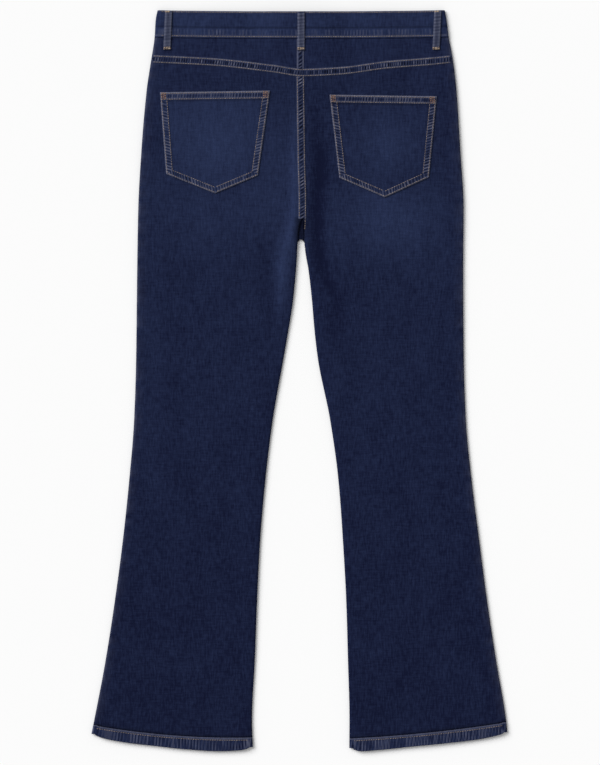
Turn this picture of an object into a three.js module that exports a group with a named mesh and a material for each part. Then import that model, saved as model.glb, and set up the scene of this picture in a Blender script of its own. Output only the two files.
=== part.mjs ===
// Bootcut jeans laid flat on their front, the back uppermost.
// Millimetres. +X is the wearer's right, +Y runs to the waist, +Z is up.
// The origin is the middle of the garment's box, on the surface that it lies on.
import * as THREE from "three";

// Driving sizes
const DENIM = 1.2; // wall of one layer of denim
const BAND_WALL = 2; // waistband: two layers and the seam allowances between them
const HEM_WALL = 2; // hem: the leg's edge turned up twice
const LOOP_WALL = 1.6; // belt loop: a strip folded in three and pressed
const SEAM_GAP = 0.3; // clearance between two pieces that are sewn together
const FOLD_REACH = 4.5; // how far in from the garment's edge a side fold is curved
const UNDERLAP = 8; // flat run of the back panel under the leg, up to its seam
const FOLD_RUN = 8; // length given to a half turn when points are set out round a fold
const BAND_PROUD = 0.8; // height of the waistband's face above the panels
const HEM_PROUD = 0.7;
const CROTCH_Y = 236; // lower end of the seat seam, where the legs part
const FORK_Y = 203; // lower edge of the cloth between the legs
const FRONT_SEAM_X = 2.3;
const FRONT_DIP = 22; // how much lower the front waist is cut at its middle
const FORK_PAD = 1.6; // extra thickness where the front is folded over at the fork

// Levels that the rows of every piece are counted by. At the seams a level bends with its seam.
const LEVEL = { hemEdge: -538, hemSeam: -510, yokeSeam: 456, bandSeam: 497, bandEdge: 537 };
const LEVEL_BENDS = { belowSeat: 380, aboveHem: -440 };

// The sides of the garment, from the hem corners up to the top of the waistband
const SIDES = [
  { y: -513, left: -301.6, right: 302 },
  { y: -493, left: -297.5, right: 300 },
  { y: -406, left: -281, right: 285.5 },
  { y: -319, left: -267.5, right: 272.3 },
  { y: -232, left: -256, right: 261 },
  { y: -145, left: -246.8, right: 250 },
  { y: -58, left: -239.7, right: 241.7 },
  { y: 29, left: -236.8, right: 238.7 },
  { y: 160, left: -235.2, right: 237.7 },
  { y: 247, left: -233.7, right: 238.4 },
  { y: 334, left: -229, right: 233.6 },
  { y: 421, left: -221.4, right: 228 },
  { y: 464, left: -215, right: 223 },
  { y: 497, left: -210, right: 217 },
  { y: 523, left: -208.3, right: 213.6 },
  { y: 537, left: -205.6, right: 211 },
];

// The inner folds of the legs, from the hem up to the end of the seat seam
const INSEAMS = [
  { y: -538, left: -67, right: 72.4 },
  { y: -493, left: -68.7, right: 72.8 },
  { y: -406, left: -64.5, right: 70.6 },
  { y: -319, left: -61.2, right: 68 },
  { y: -232, left: -56.7, right: 63.2 },
  { y: -145, left: -49.2, right: 56.7 },
  { y: -58, left: -38.6, right: 44.8 },
  { y: 29, left: -23.3, right: 27.3 },
  { y: 73, left: -15.7, right: 22 },
  { y: 116, left: -9, right: 18.3 },
  { y: 160, left: -4.8, right: 13.3 },
  { y: 182, left: -3.3, right: 9.4 },
  { y: 203, left: -2, right: 7 },
  { y: 226, left: 0.4, right: 7.9 },
  { y: 236, left: 4.4, right: 4.8 },
];

// The seat seam, from the end where the legs part up to the waistband
const SEAT_SEAM = [
  { y: 236, x: 4.6 },
  { y: 269, x: 4.4 },
  { y: 319, x: 3 },
  { y: 442, x: 1.6 },
  { y: 537, x: 1.6 },
];

// The seam under the yoke, lowest at the seat seam
const YOKE_SEAM = [
  { x: -222, y: 466.4 },
  { x: -122, y: 461 },
  { x: -36, y: 451 },
  { x: 4, y: 445.6 },
  { x: 57, y: 448 },
  { x: 127, y: 457 },
  { x: 197, y: 463 },
  { x: 228, y: 466.4 },
];

// The seam line above each hem, by the share of the leg's width in from its outer side
const HEM_SEAM = {
  left: { start: -500, slope: -41.5, bow: 23.5 },
  right: { start: -496, slope: -36.5, bow: 13 },
};

// The lower edge of each hem, by the same share
const HEM_EDGE = [
  { share: 0, left: -513, right: -510.5 },
  { share: 0.07, left: -519, right: -515.5 },
  { share: 0.2, left: -525, right: -521.5 },
  { share: 0.4, left: -530.5, right: -526.8 },
  { share: 0.6, left: -535.5, right: -531.2 },
  { share: 0.8, left: -538, right: -536 },
  { share: 0.93, left: -536.5, right: -538 },
  { share: 1, left: -532, right: -533.5 },
];

// Height of the garment as it lies, from the surface to the outside of its back
const LOFT = [
  { y: -538, height: 4.6 },
  { y: -300, height: 4.6 },
  { y: 0, height: 4.5 },
  { y: 150, height: 4.9 },
  { y: 236, height: 5.6 },
  { y: 350, height: 5.8 },
  { y: 440, height: 5.3 },
  { y: 497, height: 4.8 },
];

// How far the button and the front loops hold the front waist off the surface, by distance from its middle
const FRONT_REST = [
  { reach: 0, rise: 3.6 },
  { reach: 30, rise: 3.6 },
  { reach: 78, rise: 2.3 },
  { reach: 112, rise: 2.3 },
  { reach: 165, rise: 0 },
];
const FRONT_REST_FADE = { none: 380, full: 455 };

// The overlapped ends of the waistband lift the layers above them
const OVERLAP_REST = { x: -6, flat: 36, fade: 50, rise: 1.3 };

// The largest folds, each along Y: ridges have a height, troughs a negative one
const FOLDS = {
  seatTrough: [
    { y: 40, x: 56, height: 0, width: 15 },
    { y: 87, x: 58, height: -0.7, width: 15 },
    { y: 116, x: 55, height: -1.1, width: 14 },
    { y: 145, x: 41, height: -1.5, width: 12 },
    { y: 189, x: 29, height: -1.8, width: 11 },
    { y: 244, x: 27, height: -2.1, width: 11 },
    { y: 315, x: 32, height: -2.1, width: 13 },
    { y: 350, x: 27, height: -1.4, width: 13 },
    { y: 410, x: 14, height: 0, width: 12 },
  ],
  seamRidge: [
    { y: 70, x: -27, height: 0, width: 10 },
    { y: 116, x: -24, height: 1.2, width: 10 },
    { y: 157, x: -21, height: 1.9, width: 9 },
    { y: 211, x: -12, height: 2.4, width: 8 },
    { y: 261, x: -5, height: 2.4, width: 8 },
    { y: 330, x: -6, height: 1.7, width: 8 },
    { y: 430, x: -5, height: 0, width: 8 },
  ],
  thighTrough: [
    { y: 90, x: -43, height: 0, width: 12 },
    { y: 131, x: -44, height: -0.7, width: 12 },
    { y: 200, x: -50, height: -0.8, width: 12 },
    { y: 240, x: -52, height: 0, width: 12 },
  ],
};

// Corners of the patch pockets; the point of the lower edge lies between the lower corners
const POCKETS = {
  left: {
    topOuter: [-202, 417.4],
    topInner: [-42.3, 419.6],
    lowInner: [-60, 296.7],
    point: [-122.2, 270.8],
    lowOuter: [-193, 299],
  },
  right: {
    topOuter: [199.4, 411.6],
    topInner: [43.8, 413.8],
    lowInner: [58, 293.4],
    point: [124, 265],
    lowOuter: [188, 294.3],
  },
};

// Belt loops: the middle of each at the top edge of the waistband and at its lower end
const LOOP = { width: 10.5, length: 57 };
const BACK_LOOPS = [
  { name: "loop_back_left", top: -189.4, bottom: -191.8 },
  { name: "loop_back_centre", top: 2.6, bottom: 2.6 },
  { name: "loop_back_right", top: 200.8, bottom: 198.2 },
];
const FRONT_LOOPS = [
  { name: "loop_front_left", x: -93 },
  { name: "loop_front_right", x: 97 },
];

const BUTTON = { radius: 8.5, height: 3.2, rim: 0.9, sides: 28 };
const ZIP = { tape: 13, chain: 2.8, chainEdge: 3.3, tapeWall: 0.7, chainWall: 1.6, top: 468, bottom: 340 };

// The ends of the waistband at the centre front: the left end lies outside the right one
const BAND_ENDS = { outer: 17, inner: -28, stepFrom: 44, stepTo: 21 };

// Colours and finishes
const FINISH = {
  denim: { color: 0x1c2541, roughness: 0.9, metalness: 0 },
  pocket: { color: 0x263150, roughness: 0.9, metalness: 0 },
  band: { color: 0x252e49, roughness: 0.9, metalness: 0 },
  loop: { color: 0x414455, roughness: 0.9, metalness: 0 },
  metal: { color: 0x9a8566, roughness: 0.35, metalness: 1 },
  zip: { color: 0x20263c, roughness: 0.7, metalness: 0 },
};

// Rows and columns of the cloth
const SEAT_LEVELS = [456, 438, 410, 380];
const THIGH_LEVELS = [345, 310, 275, 250, 236, 226, 214, 203, 199, 195, 187];
const LEG_LEVELS = [165, 138, 110, 75, 35, -15, -75, -145, -220, -300, -380, -450, -510];
const BACK_LEVELS = [...SEAT_LEVELS, ...THIGH_LEVELS, ...LEG_LEVELS];
const FRONT_LEVELS = [497, 470, 440, 410, 380, ...THIGH_LEVELS, ...LEG_LEVELS];
const YOKE_LEVELS = [497, 484, 470, 456.35];
const MIDDLE_SHARES = [0.9, 0.77, 0.63, 0.49, 0.37, 0.28, 0.21, 0.155, 0.11];
const ROUND_SIDE = [0, 8, 10, 12, 14, 16];
const ROUND_INNER = [16, 14, 12, 10, 8, 0];
const SPREAD_INNER = [16, 12.8, 9.6, 6.4, 3.2, 0];
const HALF_TURN = [0, 45, 90, 135, 180];

const lerp = THREE.MathUtils.lerp;
const smooth = (x, low, high) => THREE.MathUtils.smoothstep(x, low, high);
const radians = THREE.MathUtils.degToRad;

// A smooth curve through one column of a table, without overshoot between rows
function curve(rows, key, column, at) {
  const end = rows.length - 1;
  const place = THREE.MathUtils.clamp(at, rows[0][key], rows[end][key]);
  let row = 0;
  while (row < end - 1 && rows[row + 1][key] < place) row += 1;
  const step = (n) => rows[n + 1][key] - rows[n][key];
  const slope = (n) => (rows[n + 1][column] - rows[n][column]) / step(n);
  const tangent = (n) => {
    if (n === 0) return slope(0);
    if (n === end) return slope(end - 1);
    const before = slope(n - 1);
    const after = slope(n);
    return before * after <= 0 ? 0 : (2 * before * after) / (before + after);
  };
  const t = (place - rows[row][key]) / step(row);
  const rise = rows[row + 1][column] - rows[row][column];
  const into = tangent(row) * step(row);
  const out = tangent(row + 1) * step(row);
  return rows[row][column] + t * into + t * t * (3 * rise - 2 * into - out)
    + t * t * t * (into + out - 2 * rise);
}

// Outline
const sign = (side) => (side === "left" ? -1 : 1);
const sideX = (side, y) => curve(SIDES, "y", side, y);

function innerX(side, y) {
  if (y >= CROTCH_Y) return curve(SEAT_SEAM, "y", "x", y) + (sign(side) * SEAM_GAP) / 2;
  return curve(INSEAMS, "y", side, y);
}

function legShare(side, x, y) {
  const outer = sideX(side, y);
  return THREE.MathUtils.clamp((x - outer) / (innerX(side, y) - outer), 0, 1);
}

function hemSeamY(side, x) {
  const share = legShare(side, x, LEVEL.hemSeam);
  const { start, slope, bow } = HEM_SEAM[side];
  return start + slope * share + bow * share * share;
}

const hemEdgeY = (side, x) => curve(HEM_EDGE, "share", side, legShare(side, x, LEVEL.hemSeam));
const yokeSeamY = (x) => curve(YOKE_SEAM, "x", "y", x);
const bandSeamY = (x) => 495 + 2.5 * (x / 210) ** 2;
const bandEdgeY = (x) => 534.5 + 2 * (x / 205) ** 2;
const frontDip = (x) => FRONT_DIP * Math.max(0, 1 - (x / 185) ** 2) ** 2;

// The place of a level on the back, at a distance across the garment
function backY(side, x, level) {
  if (level >= LEVEL.bandSeam) {
    const up = (level - LEVEL.bandSeam) / (LEVEL.bandEdge - LEVEL.bandSeam);
    return lerp(bandSeamY(x), bandEdgeY(x), up);
  }
  if (level >= LEVEL.yokeSeam) {
    const up = (level - LEVEL.yokeSeam) / (LEVEL.bandSeam - LEVEL.yokeSeam);
    return lerp(yokeSeamY(x), bandSeamY(x), up);
  }
  if (level > LEVEL_BENDS.belowSeat) {
    const bend = smooth(level, LEVEL_BENDS.belowSeat, LEVEL.yokeSeam);
    return level + bend * (yokeSeamY(x) - LEVEL.yokeSeam);
  }
  return lowerY(side, x, level);
}

// The same on the front, which is cut lower at the middle of the waist and has no yoke
function frontY(side, x, level) {
  if (level >= LEVEL.bandSeam) return backY(side, x, level) - frontDip(x);
  if (level > LEVEL_BENDS.belowSeat) {
    const bend = smooth(level, LEVEL_BENDS.belowSeat, LEVEL.bandSeam);
    return level + bend * (bandSeamY(x) - frontDip(x) - LEVEL.bandSeam);
  }
  return lowerY(side, x, level);
}

// The same on both below the seat, down to the edge of the hem
function lowerY(side, x, level) {
  if (level < LEVEL.hemSeam) {
    const down = (LEVEL.hemSeam - level) / (LEVEL.hemSeam - LEVEL.hemEdge);
    return lerp(hemSeamY(side, x), hemEdgeY(side, x), down);
  }
  const bend = 1 - smooth(level, LEVEL.hemSeam, LEVEL_BENDS.aboveHem);
  return level + bend * (hemSeamY(side, x) - LEVEL.hemSeam);
}

// Heights
function restHeight(x, y) {
  const fade = smooth(y, FRONT_REST_FADE.none, FRONT_REST_FADE.full);
  return fade * curve(FRONT_REST, "reach", "rise", Math.abs(x));
}

function foldHeight(rows, x, y) {
  const across = (x - curve(rows, "y", "x", y)) / curve(rows, "y", "width", y);
  return curve(rows, "y", "height", y) * Math.exp(-across * across);
}

function backHeight(x, y) {
  const { x: middle, flat, fade, rise } = OVERLAP_REST;
  const overlap = rise * (1 - smooth(Math.abs(x - middle), flat, flat + fade));
  const nearWaist = smooth(y, FRONT_REST_FADE.none, FRONT_REST_FADE.full);
  const folds = Object.values(FOLDS).reduce((sum, rows) => sum + foldHeight(rows, x, y), 0);
  return curve(LOFT, "y", "height", y) + restHeight(x, y) + overlap * nearWaist + folds;
}

// A place in the cloth: a point on its outer face and the one under it on its inner face
const onBack = (x, y, wall, proud) => {
  const top = backHeight(x, y) + proud;
  return { outer: [x, y, top], inner: [x, y, top - wall] };
};

const onFront = (x, y, wall, raise = 0) => {
  const low = restHeight(x, y) + raise;
  return { outer: [x, y, low], inner: [x, y, low + wall] };
};

// A place on the fold at a side edge, by how far it has turned from the top: 180 is underneath.
// Where the cloth stops before it has turned 90 degrees, its end is what reaches the edge.
function onFold({ edge, inward, turn, lastTurn = 180, y, wall, proud }) {
  const reach = lastTurn < 90 ? FOLD_REACH * Math.sin(radians(lastTurn)) : FOLD_REACH;
  const start = edge + inward * reach;
  const top = backHeight(start, y) + proud;
  const middle = (top + restHeight(start, y)) / 2;
  const half = top - middle;
  const out = Math.sin(radians(turn));
  const up = Math.cos(radians(turn));
  return {
    outer: [start - inward * FOLD_REACH * out, y, middle + half * up],
    inner: [start - inward * (FOLD_REACH - wall) * out, y, middle + (half - wall) * up],
  };
}

// How far the back panel has turned round the inner fold at a level, and its flat run beyond
function innerTurn(level) {
  if (level >= FORK_Y) return 75 * (1 - smooth(level, FORK_Y, CROTCH_Y));
  return 75 + 105 * (1 - THREE.MathUtils.clamp((level - 195) / (FORK_Y - 195), 0, 1));
}

const innerUnderlap = (level) => UNDERLAP * (1 - THREE.MathUtils.clamp((level - 187) / 8, 0, 1));

// A place round a side fold, by the run of cloth from its sewn edge underneath
function roundFold({ edge, inward, run, lastTurn, underlap, y, wall, proud }) {
  const turnRun = (FOLD_RUN * lastTurn) / 180;
  const reach = lastTurn < 90 ? FOLD_REACH * Math.sin(radians(lastTurn)) : FOLD_REACH;
  if (run < underlap) return onFront(edge + inward * (FOLD_REACH + underlap - run), y, wall);
  if (run < underlap + turnRun) {
    const turn = lastTurn - ((run - underlap) / turnRun) * lastTurn;
    return onFold({ edge, inward, turn, lastTurn, y, wall, proud });
  }
  return onBack(edge + inward * (reach + run - underlap - turnRun), y, wall, proud);
}

// A row of a piece that lies over the back of one leg or one half of the seat
function backRow(side, level) {
  const inward = -sign(side);
  const outerGuess = backY(side, sideX(side, level), level);
  const roundSide = ROUND_SIDE.map((run) =>
    roundFold({
      edge: sideX(side, outerGuess), inward, run, lastTurn: 180, underlap: UNDERLAP,
      y: outerGuess, wall: DENIM, proud: 0,
    }));
  const middle = MIDDLE_SHARES.map((share) => {
    const inner = innerX(side, level);
    const x = inner + share * (sideX(side, level) - inner);
    return onBack(x, backY(side, x, level), DENIM, 0);
  });
  const y = backY(side, innerX(side, level), level);
  const spread = 1 - innerUnderlap(level) / UNDERLAP;
  const roundInner = ROUND_INNER.map((run, n) =>
    roundFold({
      edge: innerX(side, y), inward: -inward, run: lerp(run, SPREAD_INNER[n], spread),
      lastTurn: innerTurn(level), underlap: innerUnderlap(level), y, wall: DENIM, proud: 0,
    }));
  return [...roundSide, ...middle, ...roundInner];
}

// A row of a front panel: flat, from its side seam to the inner seam or the centre front
const FRONT_SHARES = [0, 0.14, 0.28, 0.44, 0.6, 0.75, 0.87, 0.95, 1];

function frontInnerX(side, level, y) {
  const leg = innerX(side, y) + sign(side) * (FOLD_REACH + SEAM_GAP + innerUnderlap(level));
  const middle = FRONT_SEAM_X + (sign(side) * SEAM_GAP) / 2;
  const along = THREE.MathUtils.clamp((level - 195) / (FORK_Y - 195), 0, 1);
  return lerp(leg, middle, along * along);
}

function frontRow(side, level) {
  const edgeY = frontY(side, sideX(side, level), level);
  const outer = sideX(side, edgeY) - sign(side) * (FOLD_REACH + UNDERLAP + SEAM_GAP);
  const inner = frontInnerX(side, level, frontY(side, innerX(side, level), level));
  return FRONT_SHARES.map((share) => {
    const x = lerp(outer, inner, share);
    const nearFork = smooth(level, FORK_Y, FORK_Y + 8) * (1 - smooth(level, CROTCH_Y, CROTCH_Y + 12));
    const pad = FORK_PAD * nearFork * (1 - smooth(Math.abs(x - FRONT_SEAM_X), 5, 9));
    return onFront(x, frontY(side, x, level), DENIM + pad);
  });
}

// A closed solid from rows of places in the cloth. A ring's rows join their last place to the first.
function clothSolid(rows, ring = false) {
  const columns = rows[0].length;
  const points = [];
  const faces = [];
  rows.flat().forEach(({ outer }) => points.push(...outer));
  rows.flat().forEach(({ inner }) => points.push(...inner));
  const under = rows.length * columns;
  const at = (row, column) => row * columns + (column % columns);
  const quad = (a, b, c, d) => faces.push(a, b, c, a, c, d);
  const spans = ring ? columns : columns - 1;
  for (let row = 0; row < rows.length - 1; row += 1) {
    for (let column = 0; column < spans; column += 1) {
      const corners = [
        at(row, column), at(row, column + 1), at(row + 1, column + 1), at(row + 1, column),
      ];
      quad(...corners);
      const [a, b, c, d] = corners.map((corner) => corner + under);
      faces.push(a, c, b, a, d, c);
    }
  }
  const border = (a, b) => quad(b, a, a + under, b + under);
  const last = rows.length - 1;
  for (let column = 0; column < spans; column += 1) {
    border(at(0, column), at(0, column + 1));
    border(at(last, column + 1), at(last, column));
  }
  for (let row = 0; row < last && !ring; row += 1) {
    border(at(row + 1, 0), at(row, 0));
    border(at(row, columns - 1), at(row + 1, columns - 1));
  }
  return facingOut(points, faces);
}

// The same faces turned round where they would enclose a negative volume
function facingOut(points, faces) {
  const corner = (n) => new THREE.Vector3().fromArray(points, 3 * n);
  let volume = 0;
  for (let n = 0; n < faces.length; n += 3) {
    const [a, b, c] = [corner(faces[n]), corner(faces[n + 1]), corner(faces[n + 2])];
    volume += a.dot(b.cross(c)) / 6;
  }
  const geometry = new THREE.BufferGeometry();
  geometry.setAttribute("position", new THREE.Float32BufferAttribute(points, 3));
  geometry.setIndex(volume > 0 ? faces : faces.slice().reverse());
  geometry.computeVertexNormals();
  return geometry;
}

// Pieces
const jeans = new THREE.Group();
jeans.name = "bootcut_jeans";

function add(name, finish, geometry) {
  const mesh = new THREE.Mesh(geometry, new THREE.MeshStandardMaterial(FINISH[finish]));
  mesh.name = name;
  jeans.add(mesh);
}

// A pressed ring of hem round the end of a leg
function hem(side) {
  const inward = -sign(side);
  const levels = [LEVEL.hemSeam - 1, -524, LEVEL.hemEdge];
  return clothSolid(levels.map((level) => {
    const place = (x) => lowerY(side, x, level) - (level === levels[0] ? SEAM_GAP : 0);
    const outerY = place(sideX(side, level));
    const innerY = place(innerX(side, level));
    const outer = sideX(side, outerY);
    const inner = innerX(side, innerY);
    const shared = { wall: HEM_WALL, proud: HEM_PROUD };
    const turns = HALF_TURN.slice().reverse();
    const across = [0.1, 0.25, 0.42, 0.58, 0.75, 0.9];
    return [
      ...turns.map((turn) => onFold({ edge: outer, inward, turn, y: outerY, ...shared })),
      ...across.map((share) => lerp(outer, inner, share))
        .map((x) => onBack(x, place(x), HEM_WALL, HEM_PROUD)),
      ...HALF_TURN.map((turn) => onFold({ edge: inner, inward: -inward, turn, y: innerY, ...shared })),
      ...across.map((share) => lerp(inner, outer, share))
        .map((x) => onFront(x, place(x), HEM_WALL)),
    ];
  }), true);
}

// The waistband runs from its outer end at the centre front, round the wearer's left, over the back
// and round the right to the end that lies inside
function waistband() {
  const levels = [LEVEL.bandEdge, 517, LEVEL.bandSeam];
  const under = [BAND_ENDS.outer, -12, -45, -85, -125, -160, -188];
  const over = [-185, -150, -115, -80, -45, -12, 20, 50, 85, 120, 155, 192];
  const underRight = [188, 160, 125, 85, BAND_ENDS.stepFrom, BAND_ENDS.stepTo, 0, BAND_ENDS.inner];
  const shared = { wall: BAND_WALL, proud: BAND_PROUD };
  return clothSolid(levels.map((level) => {
    const gap = level === LEVEL.bandSeam ? SEAM_GAP : 0;
    const front = (x) => frontY("left", x, level) + 1.5 * gap;
    const back = (x) => backY("left", x, level) + gap;
    const leftY = back(sideX("left", level));
    const rightY = back(sideX("right", level));
    const left = { edge: sideX("left", leftY), inward: 1, y: leftY, ...shared };
    const right = { edge: sideX("right", rightY), inward: -1, y: rightY, ...shared };
    const inside = (x) => (BAND_WALL + SEAM_GAP) * (1 - smooth(x, BAND_ENDS.stepTo, BAND_ENDS.stepFrom));
    return [
      ...under.map((x) => onFront(x, front(x), BAND_WALL)),
      ...HALF_TURN.slice().reverse().map((turn) => onFold({ ...left, turn })),
      ...over.map((x) => onBack(x, back(x), BAND_WALL, BAND_PROUD)),
      ...HALF_TURN.map((turn) => onFold({ ...right, turn })),
      ...underRight.map((x) => onFront(x, front(x), BAND_WALL, inside(x))),
    ];
  }));
}

// A patch pocket follows the panel under it
function pocket(side) {
  const { topOuter, topInner, lowInner, point, lowOuter } = POCKETS[side];
  const across = [0, 0.15, 0.32, 0.5, 0.68, 0.85, 1];
  const down = [0, 0.25, 0.5, 0.75, 1];
  const mix = (a, b, t) => [lerp(a[0], b[0], t), lerp(a[1], b[1], t)];
  return clothSolid(down.map((d) => across.map((u) => {
    const low = u < 0.5 ? mix(lowOuter, point, 2 * u) : mix(point, lowInner, 2 * u - 1);
    const [x, y] = mix(mix(topOuter, topInner, u), low, d);
    return onBack(x, y, DENIM, SEAM_GAP + DENIM);
  })));
}

// A belt loop over the back of the waistband, with slack for a belt between its sewn ends
const LOOP_RISES = [
  { down: 0.3, rise: 0.3, surface: "band" },
  { down: 6, rise: 0.8, surface: "band" },
  { down: 20, rise: 1.1, surface: "band" },
  { down: 33, rise: 0.9, surface: "band" },
  { down: 43, rise: 0.9, surface: "yoke" },
  { down: 50, rise: 0.4, surface: "yoke" },
  { down: LOOP.length, rise: 0.3, surface: "yoke" },
];

function backLoop({ top, bottom }) {
  return clothSolid(LOOP_RISES.map(({ down, rise, surface }) => {
    const middle = lerp(top, bottom, down / LOOP.length);
    const proud = (surface === "band" ? BAND_PROUD : 0) + rise + LOOP_WALL;
    const y = bandEdgeY(middle) - down;
    const height = backHeight(middle, y) + proud;
    return [-0.5, 0.5].map((half) => {
      const x = middle + half * LOOP.width;
      return { outer: [x, y, height], inner: [x, y, height - LOOP_WALL] };
    });
  }));
}

// A belt loop pressed flat between the front of the waistband and the surface
function frontLoop({ x }) {
  const top = bandEdgeY(x) - frontDip(x);
  return clothSolid([0.3, LOOP.length / 2, LOOP.length].map((down) =>
    [-0.5, 0.5].map((half) => {
      const at = [x + half * LOOP.width, top - down];
      return { outer: [...at, 0], inner: [...at, LOOP_WALL] };
    })));
}

// The closed zip lies inside, on the centre front seam
function zip() {
  const { tape, chain, chainEdge, tapeWall, chainWall, top, bottom } = ZIP;
  const profile = [
    [-tape, tapeWall], [-chainEdge, tapeWall], [-chain, chainWall],
    [chain, chainWall], [chainEdge, tapeWall], [tape, tapeWall],
  ];
  const rows = 7;
  return clothSolid(Array.from({ length: rows }, (_, n) => {
    const y = lerp(top, bottom, n / (rows - 1));
    return profile.map(([off, wall]) => {
      const base = restHeight(FRONT_SEAM_X, y) + DENIM + SEAM_GAP;
      const x = FRONT_SEAM_X + off;
      return { outer: [x, y, base + wall], inner: [x, y, base] };
    });
  }));
}

// A shank button, face down
function button() {
  const { radius, height, rim, sides } = BUTTON;
  const profile = [
    [0, 0], [radius - rim, 0], [radius - 0.25, rim * 0.4], [radius, rim],
    [radius - rim, height - 1.1], [radius * 0.5, height], [0, height],
  ].map(([r, z]) => new THREE.Vector2(r, z));
  const geometry = new THREE.LatheGeometry(profile, sides);
  geometry.rotateX(Math.PI / 2);
  const middle = (bandSeamY(0) + bandEdgeY(0)) / 2 - frontDip(FRONT_SEAM_X);
  geometry.translate(FRONT_SEAM_X, middle, 0);
  return geometry;
}

add("waistband", "band", waistband());
for (const side of ["left", "right"]) {
  add(`yoke_${side}`, "denim", clothSolid(YOKE_LEVELS.map((level) => backRow(side, level))));
  add(`back_${side}`, "denim", clothSolid(BACK_LEVELS.map((level) => backRow(side, level))));
  add(`front_${side}`, "denim", clothSolid(FRONT_LEVELS.map((level) => frontRow(side, level))));
  add(`pocket_${side}`, "pocket", pocket(side));
  add(`hem_${side}`, "band", hem(side));
}
for (const loop of BACK_LOOPS) add(loop.name, "loop", backLoop(loop));
for (const loop of FRONT_LOOPS) add(loop.name, "loop", frontLoop(loop));
add("zip", "zip", zip());
add("button", "metal", button());

export default jeans;
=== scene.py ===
"""Bootcut jeans laid flat, back uppermost: cloth, seams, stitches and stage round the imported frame."""

import math

import bpy
import numpy as np
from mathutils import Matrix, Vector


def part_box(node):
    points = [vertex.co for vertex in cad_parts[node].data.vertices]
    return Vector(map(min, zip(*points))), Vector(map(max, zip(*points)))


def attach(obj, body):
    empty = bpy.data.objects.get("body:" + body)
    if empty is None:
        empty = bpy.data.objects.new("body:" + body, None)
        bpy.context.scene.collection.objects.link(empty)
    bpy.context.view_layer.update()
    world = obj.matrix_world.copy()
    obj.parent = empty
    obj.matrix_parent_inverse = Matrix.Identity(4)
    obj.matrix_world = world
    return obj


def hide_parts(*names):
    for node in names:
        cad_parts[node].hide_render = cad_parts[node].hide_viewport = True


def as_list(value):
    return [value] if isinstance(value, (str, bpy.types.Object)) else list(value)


bl_info = {
    "name": "Bootcut Jeans",
    "version": (1, 0, 0),
    "blender": (4, 5, 0),
    "location": "View3D > Sidebar > Jeans",
    "description": "Builds a pair of bootcut jeans laid flat, piece by piece",
    "category": "Add Mesh",
}

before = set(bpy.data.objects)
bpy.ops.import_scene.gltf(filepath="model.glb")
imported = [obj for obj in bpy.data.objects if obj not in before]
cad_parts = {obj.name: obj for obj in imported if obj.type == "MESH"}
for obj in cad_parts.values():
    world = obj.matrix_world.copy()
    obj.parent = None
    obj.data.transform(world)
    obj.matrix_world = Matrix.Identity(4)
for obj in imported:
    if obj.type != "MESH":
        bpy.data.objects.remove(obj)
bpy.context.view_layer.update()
MM = 0.001


# ---------------------------------------------------------------- sizes and tables, in millimetres

DENIM = 1.2
BAND_WALL = 2.0
HEM_WALL = 2.0
LOOP_WALL = 1.6
SEAM_GAP = 0.3
FOLD_REACH = 4.5
UNDERLAP = 8.0
FOLD_RUN = 8.0
BAND_PROUD = 0.8
HEM_PROUD = 0.7
CROTCH_Y = 236.0
FORK_Y = 203.0
FORK_PAD = 1.6
FRONT_SEAM_X = 2.3
FRONT_DIP = 22.0
HEM_EDGE_LEVEL = -538.0
HEM_SEAM_LEVEL = -510.0
YOKE_LEVEL = 456.0
BAND_LEVEL = 497.0
TOP_LEVEL = 537.0
BEND_BELOW_SEAT = 380.0
BEND_ABOVE_HEM = -440.0


def table(columns, rows):
    """A short table whose columns are looked up by name."""
    return dict(zip(columns.split(), np.array(rows, float).T))


SIDES = table("y left right", [
    (-513, -301.6, 302), (-493, -297.5, 300), (-406, -281, 285.5), (-319, -267.5, 272.3),
    (-232, -256, 261), (-145, -246.8, 250), (-58, -239.7, 241.7), (29, -236.8, 238.7),
    (160, -235.2, 237.7), (247, -233.7, 238.4), (334, -229, 233.6), (421, -221.4, 228),
    (464, -215, 223), (497, -210, 217), (523, -208.3, 213.6), (537, -205.6, 211),
])
INSEAMS = table("y left right", [
    (-538, -67, 72.4), (-493, -68.7, 72.8), (-406, -64.5, 70.6), (-319, -61.2, 68),
    (-232, -56.7, 63.2), (-145, -49.2, 56.7), (-58, -38.6, 44.8), (29, -23.3, 27.3),
    (73, -15.7, 22), (116, -9, 18.3), (160, -4.8, 13.3), (182, -3.3, 9.4),
    (203, -2, 7), (226, 0.4, 7.9), (236, 4.4, 4.8),
])
SEAT_SEAM = table("y x", [(236, 4.6), (269, 4.4), (319, 3), (442, 1.6), (537, 1.6)])
YOKE_SEAM = table("x y", [
    (-222, 466.4), (-122, 461), (-36, 451), (4, 445.6), (57, 448), (127, 457), (197, 463), (228, 466.4),
])
HEM_SEAM = {"left": (-500, -41.5, 23.5), "right": (-496, -36.5, 13)}
HEM_EDGE = table("share left right", [
    (0, -513, -510.5), (0.07, -519, -515.5), (0.2, -525, -521.5), (0.4, -530.5, -526.8),
    (0.6, -535.5, -531.2), (0.8, -538, -536), (0.93, -536.5, -538), (1, -532, -533.5),
])
LOFT = table("y height", [
    (-538, 4.6), (-300, 4.6), (0, 4.5), (150, 4.9), (236, 5.6), (350, 5.8), (440, 5.3), (497, 4.8),
])
FRONT_REST = table("reach rise", [(0, 3.6), (30, 3.6), (78, 2.3), (112, 2.3), (165, 0)])
OVERLAP_X, OVERLAP_FLAT, OVERLAP_FADE, OVERLAP_RISE = -6.0, 36.0, 50.0, 1.3
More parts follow.
